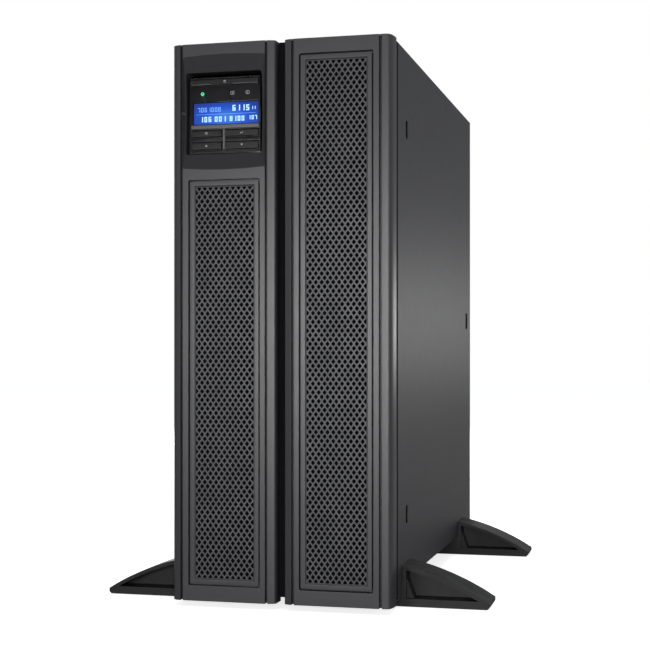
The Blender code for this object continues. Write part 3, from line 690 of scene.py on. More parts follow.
# Grilles: a sheet of staggered holes in a sloped rim, with dark foam behind
grilleLook = {"pitch": (4.55, 6.7), "leastCell": 4.2, "leastHole": 1.6, "corner": 0.5,
              "web": 0.32, "squat": 0.80, "slope": 0.20, "sink": 0.25, "sheet": 1.1,
              "meshDepth": 1.7, "rimGap": 0.7, "rimFlat": 3.5, "rimSlope": 0.8, "rimFront": 0.6,
              "rimDrop": 1.0, "rimSheet": 1.6, "rimCorner": 1.0, "rimEdge": 0.25,
              "meshOverlap": 0.3, "foam": (6.4, 8.2), "foamGap": 0.2, "foamEdge": 0.4}


def outline(x, z, corner, steps=4):
    # points (x, z) round a rectangle with round corners
    for turn, cx, cz in ((0, x[1] - corner, z[1] - corner), (90, x[0] + corner, z[1] - corner),
                         (180, x[0] + corner, z[0] + corner), (270, x[1] - corner, z[0] + corner)):
        for i in range(steps + 1):
            a = math.radians(turn + 90 * i / steps)
            yield cx + corner * math.cos(a), cz + corner * math.sin(a)


def framed(x, z, section, corner):
    # a closed section of (inset, depth) points carried round a rectangle
    bm = bmesh.new()
    loops = [[bm.verts.new(spot(a, d, b))
              for a, b in outline(grown(x, -inset), grown(z, -inset), max(corner - inset, 0.25))]
             for inset, d in section]
    for near, far in zip(loops, loops[1:] + loops[:1]):
        edges = [bm.edges.get(pair) or bm.edges.new(pair)
                 for loop in (near, far) for pair in zip(loop, loop[1:] + loop[:1])]
        bmesh.ops.bridge_loops(bm, edges=edges)
    bmesh.ops.recalc_face_normals(bm, faces=bm.faces)
    return bm


def staggeredSheet(x, z, depth):
    # a lattice of leaning cells, each drawn in to a hole, trimmed square
    across, up = grilleLook["pitch"]
    width, height = x[1] - x[0], z[1] - z[0]
    reach = int(width / across + height / up) + 4
    bm = bmesh.new()
    bmesh.ops.create_grid(bm, x_segments=reach, y_segments=reach, size=reach / 2)
    right, rise = across / 2 * mm, up / 2 * mm
    lean = Matrix(((right, right, 0), (0, 0, 1), (rise, -rise, 0))).to_4x4()
    bmesh.ops.transform(bm, matrix=Matrix.Translation(spot(middle(x), depth, middle(z))) @ lean,
                        verts=bm.verts)
    for point, normal in ((spot(x[0], 0, 0), (-1, 0, 0)), (spot(x[1], 0, 0), (1, 0, 0)),
                          (spot(0, 0, z[0]), (0, 0, -1)), (spot(0, 0, z[1]), (0, 0, 1))):
        bmesh.ops.bisect_plane(bm, geom=bm.verts[:] + bm.edges[:] + bm.faces[:], dist=0.00002,
                               plane_co=point, plane_no=normal, clear_outer=True)
    bm.faces.ensure_lookup_table()
    if bm.faces[0].normal.y > 0:
        bmesh.ops.reverse_faces(bm, faces=bm.faces)
    bmesh.ops.dissolve_degenerate(bm, dist=0.0001, edges=bm.edges)
    cells = [f for f in bm.faces if f.calc_area() > grilleLook["leastCell"] * mm * mm]
    bmesh.ops.inset_individual(bm, faces=cells, thickness=grilleLook["web"] * mm)
    for cell in cells:  # holes are less tall than the cells they sit in
        centre = cell.calc_center_median().z
        for v in cell.verts:
            v.co.z = centre + (v.co.z - centre) * grilleLook["squat"]
    bmesh.ops.bevel(bm, geom=list({v for f in cells for v in f.verts}),
                    offset=grilleLook["corner"] * mm, offset_type="OFFSET", segments=1,
                    profile=0.5, affect="VERTICES", clamp_overlap=True, material=-1)
    cells = [f for f in bm.faces
             if len(f.verts) >= 6 and f.calc_area() > grilleLook["leastHole"] * mm * mm]
    bmesh.ops.inset_individual(bm, faces=cells, thickness=grilleLook["slope"] * mm,
                               depth=-grilleLook["sink"] * mm)
    bmesh.ops.delete(bm, geom=cells, context="FACES")
    return bm


def buildGrille(node, name, body):
    box = spans(node)
    x, z = box["x"], box["z"]
    outer = [grown(x, -grilleLook["rimGap"]), grown(z, -grilleLook["rimGap"])]
    flat, slope = grilleLook["rimFlat"], grilleLook["rimSlope"]
    front, sheet = grilleLook["rimFront"], grilleLook["rimSheet"]
    drop = front + grilleLook["rimDrop"]
    rim = framed(*outer, [(0.0, front + sheet), (0.0, front), (flat, front), (flat + slope, drop),
                          (flat + slope, drop + sheet), (flat, drop + sheet)],
                 grilleLook["rimCorner"])
    softened(rim, grilleLook["rimEdge"])
    makePiece(name + "Rim", rim, finishes["bezelPlastic"], body, (node,), "grille_metal")

    inset = flat + slope - grilleLook["meshOverlap"]
    mesh = staggeredSheet(grown(outer[0], -inset), grown(outer[1], -inset),
                          grilleLook["meshDepth"])
    obj = makePiece(name + "Mesh", mesh, finishes["grillePaint"], body, (), "grille_metal")
    thick = obj.modifiers.new("sheet", "SOLIDIFY")
    thick.thickness = grilleLook["sheet"] * mm
    thick.offset = -1.0

    edge = bezelLook["ledge"] + grilleLook["foamGap"]
    foam = slab(grown(x, -edge), grilleLook["foam"], grown(z, -edge))
    makePiece(name + "Foam", softened(foam, grilleLook["foamEdge"]), finishes["filterFoam"], body,
              (), "frame_black")


# Display pod
podLook = {"edge": 0.25, "digitDepth": 0.05, "digitWidth": 0.56, "digitSpace": 0.26,
           "chamfer": 0.9, "keyChamfer": 0.8, "moat": 0.75, "moatDepth": 1.3, "trimProud": 0.12,
           "lampDrop": 12.9, "lampIn": 10.6, "markIn": (22.4, 10.1), "markHalf": 1.5,
           "digits": [  # figures, start and rise from the window's lower left corner, height
               ("6115", 31.4, 9.8, 4.5), ("11", 46.6, 10.4, 2.5), ("106", 5.2, 1.8, 4.1),
               ("001", 17.0, 1.8, 4.1), ("8100", 29.2, 1.9, 3.9), ("107", 44.2, 2.6, 3.2)]}
keyMarks = {"menu_key_upper_left": "ring", "menu_key_upper_right": "hook",
            "menu_key_lower_left": "up", "menu_key_lower_right": "down"}
barsOf = {"0": "abcdef", "1": "bc", "2": "abdeg", "3": "abcdg", "4": "bcfg", "5": "acdfg",
          "6": "acdefg", "7": "abc", "8": "abcdefg", "9": "abcdfg"}


def digitShapes(text, left, low, height, d, weight):
    # seven-bar digits as thin raised slabs
    width, pen = height * podLook["digitWidth"], height * weight
    top, mid = low + height, low + height / 2
    shapes = []
    for i, digit in enumerate(text):
        x = left + i * (width + height * podLook["digitSpace"])
        places = {"a": ((x, x + width), (top - pen, top)), "d": ((x, x + width), (low, low + pen)),
                  "g": ((x, x + width), (mid - pen / 2, mid + pen / 2)),
                  "f": ((x, x + pen), (mid, top)), "e": ((x, x + pen), (low, mid)),
                  "b": ((x + width - pen, x + width), (mid, top)),
                  "c": ((x + width - pen, x + width), (low, mid))}
        shapes += [slab(places[key][0], (d - podLook["digitDepth"], d), places[key][1])
                   for key in barsOf[digit]]
    return shapes


def ringMark(centre, radius, pen, d, height):
    # a flat ring standing a little proud
    bm = bmesh.new()
    turn = facingFront(centre, d)
    for size in (radius, radius - pen):
        bmesh.ops.create_circle(bm, cap_ends=False, segments=28, radius=size * mm, matrix=turn)
    bmesh.ops.bridge_loops(bm, edges=bm.edges[:])
    bmesh.ops.recalc_face_normals(bm, faces=bm.faces)
    return thickened(bm, (0, -height * mm, 0))


def arrowMark(centre, size, d, height, up=True):
    sign = 1 if up else -1
    points = [spot(centre[0] + a * size, d, centre[1] + sign * b * size)
              for a, b in ((-0.6, -0.45), (0.6, -0.45), (0.0, 0.55))]
    return pushed(points, (0, -height * mm, 0))


def keyMark(kind, centre, d):
    pen, proud = 0.28, 0.06
    x, z = centre
    if kind == "ring":
        return [ringMark(centre, 0.95, pen, d, proud),
                slab((x - pen / 2, x + pen / 2), (d - proud, d), (z, z + 1.25))]
    if kind == "hook":
        return [slab((x - 0.9, x + 0.9), (d - proud, d), (z - 0.5, z - 0.5 + pen)),
                slab((x + 0.9 - pen, x + 0.9), (d - proud, d), (z - 0.5, z + 0.8)),
                arrowMark((x - 0.9, z - 0.35), 1.0, d, proud)]
    return [arrowMark(centre, 1.5, d, proud, kind == "up")]


def frontOf(node):
    # outline of the face that stands furthest forward
    points = [v.co for v in frame["nodes"][node].data.vertices]
    near = min(p.y for p in points)
    face = [p for p in points if p.y < near + 0.1 * mm]
    return {"x": (min(p.x for p in face) / mm, max(p.x for p in face) / mm),
            "z": (min(p.z for p in face) / mm, max(p.z for p in face) / mm),
            "d": (near - frontY) / mm}


def chamferedTop(bm, node, width):
    # the upper front edge is cut to a slope that catches the light
    front = frontOf(node)
    face, top = spot(0, front["d"], front["z"][1]).yz
    edges = [e for e in bm.edges if all(abs(v.co.y - face) < 0.05 * mm and
                                        abs(v.co.z - top) < 0.05 * mm for v in e.verts)]
    return softened(bm, width, 1, edges)


def buildTrim():
    # grey inserts round the screen and between the keys
    face, lcd = spans("pod_face"), spans("lcd_panel")
    left, right = frontOf("menu_key_upper_left"), frontOf("menu_key_upper_right")
    d = (face["d"][0] - podLook["trimProud"], face["d"][0] + 0.3)
    low = frontOf("menu_key_lower_left")["z"][0]
    gap = middle((left["x"][1], right["x"][0]))
    strip = (left["z"][1] + 1.0, lcd["z"][0] - 0.8)
    top = lcd["z"][1]
    shapes = [slab(grown(face["x"], -1.2), d, strip),
              slab((gap - 0.4, gap + 0.8), d, (low, strip[0] + 0.2)),
              slab((middle(face["x"]) - 6, lcd["x"][1]), d, (top + 0.5, top + 0.9))]
    makePiece("podTrimInserts", joined([softened(shape, 0.12) for shape in shapes]),
              finishes["trimGrey"], "display_pod", (), "pod_plastic")
    key = frontOf("power_button")
    d = (key["d"] - 0.05, key["d"] + 0.2)
    x, z = key["x"], key["z"][0] + 0.5
    wide = x[1] - x[0]
    lines = [slab(part, d, (z, z + 0.35))
             for part in ((x[0] + 0.8, x[0] + 0.30 * wide), (x[0] + 0.62 * wide, x[1] - 0.8))]
    makePiece("powerKeyLines", joined(lines), finishes["trimGrey"], "power_button", (),
              "key_plastic")


def buildPod():
    gloss = finishes["podGloss"]
    keys = ["power_button", *keyMarks]
    moats = [slab(grown(front["x"], podLook["moat"]), (0.0, front["d"] + podLook["moatDepth"]),
                  grown(front["z"], podLook["moat"])) for front in map(frontOf, keys)]
    plate = carved(cadShape("pod_face"), [("DIFFERENCE", moat) for moat in moats])
    plate = softened(chamferedTop(plate, "pod_face", podLook["chamfer"]), podLook["edge"])
    makePiece("podFacePlate", plate, gloss, "display_pod", ("pod_face",), sharp=30)
    buildTrim()
    refine("pod_housing", "podHousingCup", gloss, 0.6)
    refine("display_board", "displayBoardSheet", finishes["circuitBoard"], 0.1)

    lcd = spans("lcd_panel")
    refine("lcd_panel", "lcdWindow", finishes["screenGlow"], 0.2)
    front = lcd["d"][0]
    left, low = lcd["x"][0], lcd["z"][0]
    ink = [shape for text, start, rise, height in podLook["digits"]
           for shape in digitShapes(text, left + start, low + rise, height, front, 0.2)]
    makePiece("lcdDigits", joined(ink), finishes["screenInk"], "display_pod", (), "lcd_glass")
    faint = digitShapes("7061008", left + 3.2, low + 9.6, 3.4, front, 0.13)
    faint += [slab((left + 2.0, left + 50.0), (front - 0.03, front), (low + 7.6, low + 7.8))]
    makePiece("lcdFaintDigits", joined(faint), finishes["screenInkFaint"], "display_pod", (),
              "lcd_glass")

    face = spans("pod_face")
    d = face["d"][0]
    x, z = face["x"][0] + podLook["lampIn"], face["z"][1] - podLook["lampDrop"]
    lamp = ringMark((x, z), 1.35, 0.5, d, 0.06)
    tick = slab((x - 0.7, x + 0.7), (d - 0.06, d), (z - 0.3, z + 0.3))
    makePiece("onlineLamp", joined([lamp, tick]), finishes["greenLamp"], "display_pod", (),
              "pod_plastic")
    marks = []
    half = podLook["markHalf"]
    for x in (face["x"][1] - inward for inward in podLook["markIn"]):
        marks += [slab((x - half, x + half), (d - 0.05, d), (z + 1.0, z + 1.3)),
                  slab((x - half, x + half), (d - 0.05, d), (z - 1.3, z - 1.0)),
                  slab((x - half, x - 1.2), (d - 0.05, d), (z - 1.3, z + 1.3)),
                  slab((x + 1.2, x + half), (d - 0.05, d), (z - 1.3, z + 1.3)),
                  slab((x - 0.15, x + 0.15), (d - 0.05, d), (z - 0.7, z + 0.6))]
    makePiece("stateMarks", joined(marks), finishes["markPaint"], "display_pod", (), "pod_plastic")

    key = softened(chamferedTop(cadShape("power_button"), "power_button",
                                 podLook["keyChamfer"]), podLook["edge"])
    makePiece("powerKeyBar", key, finishes["keyGloss"], "power_button", ("power_button",),
              sharp=30)
    front = frontOf("power_button")
    centre = (middle(front["x"]), middle(front["z"]))
    makePiece("powerKeyMark", joined(keyMark("ring", centre, front["d"])), finishes["markPaint"],
              "power_button", (), "key_plastic")
    for node, kind in keyMarks.items():
        side = "Left" if "left" in node else "Right"
        row = "upper" if "upper" in node else "lower"
        key = softened(chamferedTop(cadShape(node), node, podLook["keyChamfer"]), podLook["edge"])
        makePiece(row + "MenuKey" + side, key, finishes["keyGloss"], node, (node,), sharp=30)
        front = frontOf(node)
        where = (middle(front["x"]), middle(front["z"]))
        makePiece(row + "MenuMark" + side, joined(keyMark(kind, where, front["d"])),
                  finishes["markPaint"], node, (), "key_plastic")
    print("display pod built")


# Stabiliser feet
footLook = {"wall": 3.0, "base": 6.2, "web": 4.0, "edge": 0.9, "tongue": 45.0,
            "arc": (210.0, 12.0, 29.5), "rootZ": 32.0, "tip": (1.6, 4.6, 1.8),
            "gusset": (27.0, 9.0, 8.5), "rootGap": 0.3, "underGap": 1.8, "steps": 18}


def footArc(root, inset, start, steps):
    # points (x, z) along the foot's arched top, outwards from x = start, a wall's inset under it
    radius, first, last = footLook["arc"]
    first, last = math.radians(first), math.radians(last)
    centre = (root - radius * math.sin(first), footLook["rootZ"] - radius * math.cos(first))
    radius -= inset
    first = math.asin((start - centre[0]) / radius)
    for i in range(steps + 1):
        a = first + (last - first) * i / steps
        yield centre[0] + radius * math.sin(a), centre[1] + radius * math.cos(a)


def buildFoot(node, name):
    box = spans(node)
    front, back = box["d"]
    tip = max(abs(v) for v in box["x"])
    root = spans("side_cover")["x"][1] + footLook["rootGap"]
    under = spans("rear_panel")["z"][0] - footLook["underGap"]
    wall, base, steps = footLook["wall"], footLook["base"], footLook["steps"]
    low, high, cut = footLook["tip"]
    side = [(footLook["tongue"], 0.0), (tip - cut, 0.0), (tip, low), (tip, high)]
    side += list(footArc(root, 0.0, root, steps))[::-1]
    side += [(root, under), (footLook["tongue"], under)]
    solid = pushed([spot(x, front, z) for x, z in side], (0, (back - front) * mm, 0))
    arch = [p for p in footArc(root, wall, root + wall, steps) if p[1] > base + 0.5]
    hollow = [(root + wall, base), (arch[-1][0] + 2.0, base)] + arch[::-1]
    half = (back - front) / 2 - footLook["web"] / 2
    cuts = [("DIFFERENCE", softened(pushed([spot(x, start, z) for x, z in hollow],
                                           (0, (half + 3) * mm, 0)), 1.2, 2))
            for start in (front - 3, back - half)]
    solid = softened(carved(solid, cuts), footLook["edge"], 3)
    topZ, lowZ, reach = footLook["gusset"]
    shapes = [solid]
    for start in (front + 3.5, middle((front, back)) + 1.5):  # a wedge against the chassis wall
        shapes.append(pushed([spot(root + 1, start, topZ), spot(root + 1, start, lowZ - 3),
                              spot(root + reach, start, lowZ - 3)], (0, (half - 5) * mm, 0)))
    bm = joined(shapes)
    if box["x"][0] < 0:
        bm = mirrored(bm)
    makePiece(name, bm, finishes["footPlastic"], "chassis", (node,))


# Screws and knobs
screwLook = {"radius": 2.9, "height": 1.8, "turn": 0.7}
knobLook = {"toothDepth": 0.45, "edge": 0.6}


def crossHead(radius, height):
    # a pan head with a cross recess, looking along +Y, standing on the origin
    bm = bmesh.new()
    turn = Matrix.Rotation(-math.pi / 2, 4, "X")
    bmesh.ops.create_cone(bm, cap_ends=True, segments=24, radius1=radius * mm,
                          radius2=radius * 0.94 * mm, depth=height * mm,
                          matrix=Matrix.Translation((0, height / 2 * mm, 0)) @ turn)
    rim = [e for e in bm.edges if min(v.co.y for v in e.verts) > 0.9 * height * mm]
    softened(bm, height * 0.4, 3, rim)
    arm, slit = radius * 0.6 * mm, radius * 0.13 * mm
    slots = []
    for wide, tall in ((arm, slit), (slit, arm)):
        slot = bmesh.new()
        bmesh.ops.create_cube(slot, size=2.0, matrix=Matrix.Translation((0, height * mm, 0))
                              @ Matrix.Diagonal((wide, height * 0.55 * mm, tall, 1.0)))
        slots.append(("DIFFERENCE", slot))
    return carved(bm, slots)


def screwRow(places):
    # heads at (x, d, z), all looking back, each turned a little further than the one before
    head = crossHead(screwLook["radius"], screwLook["height"])
    shapes = []
    for i, place in enumerate(places):
        turn = Matrix.Rotation(screwLook["turn"] * i, 4, "Y")
        shapes.append(copied(head, Matrix.Translation(spot(*place)) @ turn))
    head.free()
    return joined(shapes)


def knurledKnob(centre, radius, d, teeth=30):
    bm = bmesh.new()
    ring = bmesh.ops.create_circle(bm, cap_ends=True, segments=teeth * 2, radius=radius * mm)
    for i, v in enumerate(ring["verts"]):
        if i % 2:
            v.co *= 1 - knobLook["toothDepth"] / radius
    thickened(bm, (0, 0, abs(d[1] - d[0]) * mm))
    ends = [e for e in bm.edges if abs(e.verts[0].co.z - e.verts[1].co.z) < 1e-6
            and len(e.link_faces) == 2 and any(len(f.verts) > 4 for f in e.link_faces)]
    softened(bm, knobLook["edge"], 2, ends)
    bmesh.ops.transform(bm, matrix=facingFront(centre, max(d)), verts=bm.verts)
    return bm


# Chassis
# lip, rib and skirt place near-black seam fillers, which are painted shade
chassisLook = {"sheetStart": 25.0, "sheetEdge": 0.5, "bandGap": 0.3, "half": 84.0,
               "lip": {"d": 19.5, "z": (431.5, 435.2)},
               "gapShadeRib": {"x": (-2.8, 2.8), "d": (10.0, 24.0), "z": (9.0, 436.2)},
               "seamShadeSkirt": {"reach": 87.4, "d": 18.2, "z": (9.0, 434.6)}}


def buildChassis():
    paint = finishes["chassisPaint"]
    for node, name in (("side_cover", "sideCoverSheet"), ("chassis_pan", "chassisPanSheet")):
        # the sheet stops short of the bezels so that the black frame shows between them as a
        # painted shadow seam
        gap = slab((-100, 100), (10, chassisLook["sheetStart"]), (0, 445))
        bm = carved(cadShape(node), [("DIFFERENCE", gap)])
        makePiece(name, softened(bm, chassisLook["sheetEdge"], 3), paint, "chassis", (node,))
    look, half = chassisLook, chassisLook["half"]
    last = look["sheetStart"] - look["bandGap"]
    # the lip, the rib between the bezels and the side skirts are near-black strips in the frame's
    # finish: painted shade filling seams that lie in shadow
    lip = slab((-half, half), (look["lip"]["d"], last), look["lip"]["z"])
    gapShadeRib = slab(look["gapShadeRib"]["x"], look["gapShadeRib"]["d"], look["gapShadeRib"]["z"])
    seamShadeSkirts = [slab((side * half, side * look["seamShadeSkirt"]["reach"]), (look["seamShadeSkirt"]["d"], last),
                   look["seamShadeSkirt"]["z"]) for side in (-1, 1)]
    refine("front_frame", "frontFrameWithSeamShade", finishes["frameBlackAndSeamShade"], 0.5, 2,
           [("UNION", shape) for shape in (lip, gapShadeRib, *seamShadeSkirts)])
    refine("mid_partition", "midPartitionSheet", finishes["zincSheet"], 0.3)
    refine("battery_guide_rail", "batteryGuideRail", finishes["zincSheet"], 0.3)
    for end in ("front", "rear"):
        for side in ("left", "right"):
            buildFoot(f"foot_{end}_{side}", end + "Foot" + side.capitalize())
    print("chassis built")


# Battery module
batteryLook = {"caseGap": 0.6, "caseEdge": 1.6, "seamDrop": 17.6, "seam": 0.6,
               "tab": {"half": 2.4, "in": 12.0, "d": (6.0, 6.8), "sunk": 0.5, "proud": 0.9},
               "blade": {"apart": 5.5, "half": 2.4, "tall": 8.5, "d": (0.4, 4.5)},
               "lead": {"radius": 2.4, "rise": 4.0, "start": 6.0},
               "knob": {"long": 8.0, "stem": 4.4, "slot": (5.2, 1.2, 0.7)}}


def batteryTabs(box):
    # two flat terminals on each of the two cases
    tab = batteryLook["tab"]
    z = (box["z"][1] - tab["sunk"], box["z"][1] + tab["proud"])
    shapes = [slab((x - tab["half"], x + tab["half"]), (near + tab["d"][0], near + tab["d"][1]), z)
              for near in (box["d"][0], middle(box["d"])) for x in grown(box["x"], -tab["in"])]
    return joined([softened(shape, 0.15) for shape in shapes])


def buildBatteryPlug():
    refine("battery_connector", "batteryPlugHousing", finishes["socketPlastic"], 0.6, 3)
    plug, blade, lead = spans("battery_connector"), batteryLook["blade"], batteryLook["lead"]
    face, z = plug["d"][0], middle(plug["z"])
    across = grown((middle(plug["x"]),) * 2, blade["apart"])
    blades = [slab((x - blade["half"], x + blade["half"]),
                   (face + blade["d"][0], face + blade["d"][1]),
                   (z - blade["tall"], z + blade["tall"])) for x in across]
    makePiece("batteryPlugBlades", joined([softened(shape, 0.3) for shape in blades]),
              finishes["nickel"], "battery_module", (), "bright_metal")
    reach = (face + lead["start"], spans("battery_front_plate")["d"][0] + 0.3)
    leads = [bar((x, plug["z"][1] + lead["rise"]), lead["radius"], reach) for x in across]
    makePiece("batteryLeads", joined([softened(shape, 0.5) for shape in leads]),
              finishes["wireRed"], "battery_module", (), "port_plastic")


def buildThumbScrew(end):
    node, knob = f"thumb_screw_{end}", batteryLook["knob"]
    box = spans(node)
    centre = (middle(box["x"]), middle(box["z"]))
    face = box["d"][0]
    head = knurledKnob(centre, (box["x"][1] - box["x"][0]) / 2, (face, face + knob["long"]))
    wide, deep, tall = knob["slot"]
    slot = slab((centre[0] - wide, centre[0] + wide), (face - 1, face + deep),
                (centre[1] - tall, centre[1] + tall))
    stem = bar(centre, knob["stem"], (face + knob["long"] - 1, box["d"][1]))
    makePiece(end + "ThumbScrew", carved(head, [("DIFFERENCE", slot), ("UNION", stem)]),
              finishes["nickel"], node, (node,))


def buildBattery():
    zinc = finishes["zincSheet"]
    refine("battery_tray", "batteryTraySheet", zinc, 0.3)
    refine("battery_front_plate", "batteryFrontPlate", finishes["chassisPaint"], 0.35)
    refine("battery_handle", "batteryHandleBail", finishes["socketPlastic"], 1.3, 4)
    for i in range(4):
        node = f"battery_block_{i + 1}"
        box = spans(node)
        d, top = box["d"], box["z"][1]
        half, gap = middle(d), batteryLook["caseGap"]
        cases, seams = [], []
        for near, far in ((d[0], half - gap), (half + gap, d[1])):
            cases.append(softened(slab(box["x"], (near, far), box["z"]),
                                  batteryLook["caseEdge"], 3))
            low = top - batteryLook["seamDrop"]
            seams.append(slab(grown(box["x"], 0.5), grown((near, far), 0.5),
                              (low, low + batteryLook["seam"])))
        case = carved(joined(cases), [("DIFFERENCE", joined(seams))])
        makePiece(f"batteryCasePair{i + 1}", case, finishes["batteryCasePlastic"],
                  "battery_module", (node,))
        makePiece(f"batteryTabs{i + 1}", batteryTabs(box), finishes["nickel"], "battery_module",
                  (), "bright_metal")
    buildBatteryPlug()
    for end in ("upper", "lower"):
        buildThumbScrew(end)
    print("battery module built")


# Back of the unit
guardLook = {"rings": (8.5, 16.0, 23.0, 29.0), "wire": 0.96, "spokes": 4}
rotorLook = {"hub": 13.0, "reach": 31.0, "sweep": 0.78, "rise": 10.5, "blades": 7, "thick": 1.1,
             "bend": 0.22, "flatten": 0.25, "disc": 8.5}
outletLook = {"apart": (16.5, 13.5), "slots": 7.0, "half": 0.8, "inside": (8.0, 3.2),
              "end": 0.3, "largeScale": 1.3}
inletLook = {"half": 1.2, "apart": 6.5, "inside": (17.0, 3.4), "low": (-8.2, 0.2),
             "high": (1.8, 9.7)}
portLook = {"jacks": (11.0, 28.0), "jackPins": 8, "jackPitch": 1.1, "square": (43.2, 52.3),
            "squarePins": 4, "squarePitch": 1.4, "shield": 0.5, "terminal": (56.0, 0.9),
            "terminalHoles": (59.0, 63.0), "lamps": (7.0, 15.0, 24.0, 32.0), "lampRise": 6.8}
backLook = {"ribs": (52, 58, 64), "ribHalf": 7.0, "knobIn": 9.0,
            "panelScrews": (26, 140, 285, 427), "nut": 5.6, "nutDeep": 4.6, "thread": 2.5,
            "threadRoot": 2.1, "pitch": 0.4}


def wireRing(centre, radius, wire, d):
    bm = bmesh.new()
    bmesh.ops.create_circle(bm, cap_ends=False, segments=8, radius=wire * mm,
                            matrix=Matrix.Translation(spot(centre[0] + radius, d, centre[1])))
    bmesh.ops.spin(bm, geom=bm.verts[:] + bm.edges[:], cent=spot(centre[0], d, centre[1]),
                   axis=(0, 1, 0), angle=2 * math.pi, steps=56, use_merge=True)
    bmesh.ops.recalc_face_normals(bm, faces=bm.faces)
    return bm


def buildGuard(end):
    node = f"fan_guard_{end}"
    box = spans(node)
    centre = (middle(box["x"]), middle(box["z"]))
    wire = (box["d"][1] - box["d"][0]) / 2 * guardLook["wire"]
    d = middle(box["d"])
    outer = (box["x"][1] - box["x"][0]) / 2
    rings = guardLook["rings"]
    shapes = [wireRing(centre, outer - inward, wire, d) for inward in (wire, *rings)]
    reach = (centre[0] + outer - rings[-1], centre[0] + outer - wire)
    for turn in range(guardLook["spokes"]):  # the spokes stop at the inner ring
        angle = math.radians(45 + 360 / guardLook["spokes"] * turn)
        spoke = crossBar((d, centre[1]), wire, reach, 8)
        bmesh.ops.rotate(spoke, verts=spoke.verts, cent=spot(centre[0], d, centre[1]),
                         matrix=Matrix.Rotation(angle, 3, "Y"))
        shapes.append(spoke)
    makePiece(end + "FanGuardWires", joined(shapes), finishes["nickel"], "chassis", (node,))


def fanBlade(start):
    look = rotorLook
    bm = bmesh.new()
    bmesh.ops.create_grid(bm, x_segments=7, y_segments=6, size=0.5)
    inner, outer = look["hub"] - 1.0, look["reach"]
    for v in bm.verts:  # the grid is bent into a screw-shaped blade
        along, chord = v.co.x + 0.5, v.co.y
        radius = inner + along * (outer - inner)
        angle = start + chord * look["sweep"] + look["bend"] * along ** 2
        rise = chord * look["rise"] * (1 - look["flatten"] * along)
        v.co = Vector((radius * math.cos(angle), rise, radius * math.sin(angle))) * mm
    bmesh.ops.solidify(bm, geom=bm.faces[:], thickness=look["thick"] * mm)
    bmesh.ops.recalc_face_normals(bm, faces=bm.faces)
    return bm


def buildRotor(end):
    node = f"fan_rotor_{end}"
    box = spans(node)
    centre = (middle(box["x"]), middle(box["z"]))
    shapes = [softened(bar(centre, rotorLook["hub"], box["d"], 40), 1.2, 3)]
    move = Matrix.Translation(spot(centre[0], middle(box["d"]), centre[1]))
    for i in range(rotorLook["blades"]):
        blade = fanBlade(2 * math.pi * i / rotorLook["blades"])
        bmesh.ops.transform(blade, matrix=move, verts=blade.verts)
        shapes.append(blade)
    makePiece(end + "FanRotor", joined(shapes), finishes["fanPlastic"], node, (node,))
    disc = bar(centre, rotorLook["disc"], (box["d"][1] - 0.1, box["d"][1] + 0.12), 36)
    makePiece(end + "FanHubDisc", disc, finishes["labelPaper"], node, (), "fan_plastic")


def outletContacts(node, slotD):
    # brass strips just inside each blade slot, found from the block's size
    box = spans(node)
    mid = (middle(box["x"]), middle(box["z"]))
    sockets, scale = [mid], outletLook["largeScale"]
    if "large" not in node:
        apartX, apartZ = outletLook["apart"]
        sockets = [(mid[0] + sx * apartX, mid[1] + sz * apartZ)
                   for sx in (-1, 1) for sz in (-1, 1)]
        scale = 1.0
    half, end = outletLook["half"], outletLook["end"]
    first, last = outletLook["inside"]
    across = outletLook["slots"] * scale
    shapes = []
    for x, z in sockets:
        for px, low, high in ((x - across, z - 4 * scale, z + 1.5 * scale),
                              (x + across, z - 4 * scale, z + 1.5 * scale),
                              (x, z - 1.5, z + 4 * scale)):
            shapes.append(slab((px - half, px + half), (slotD - first, slotD - last),
                               (low + end, high - end)))
    return shapes


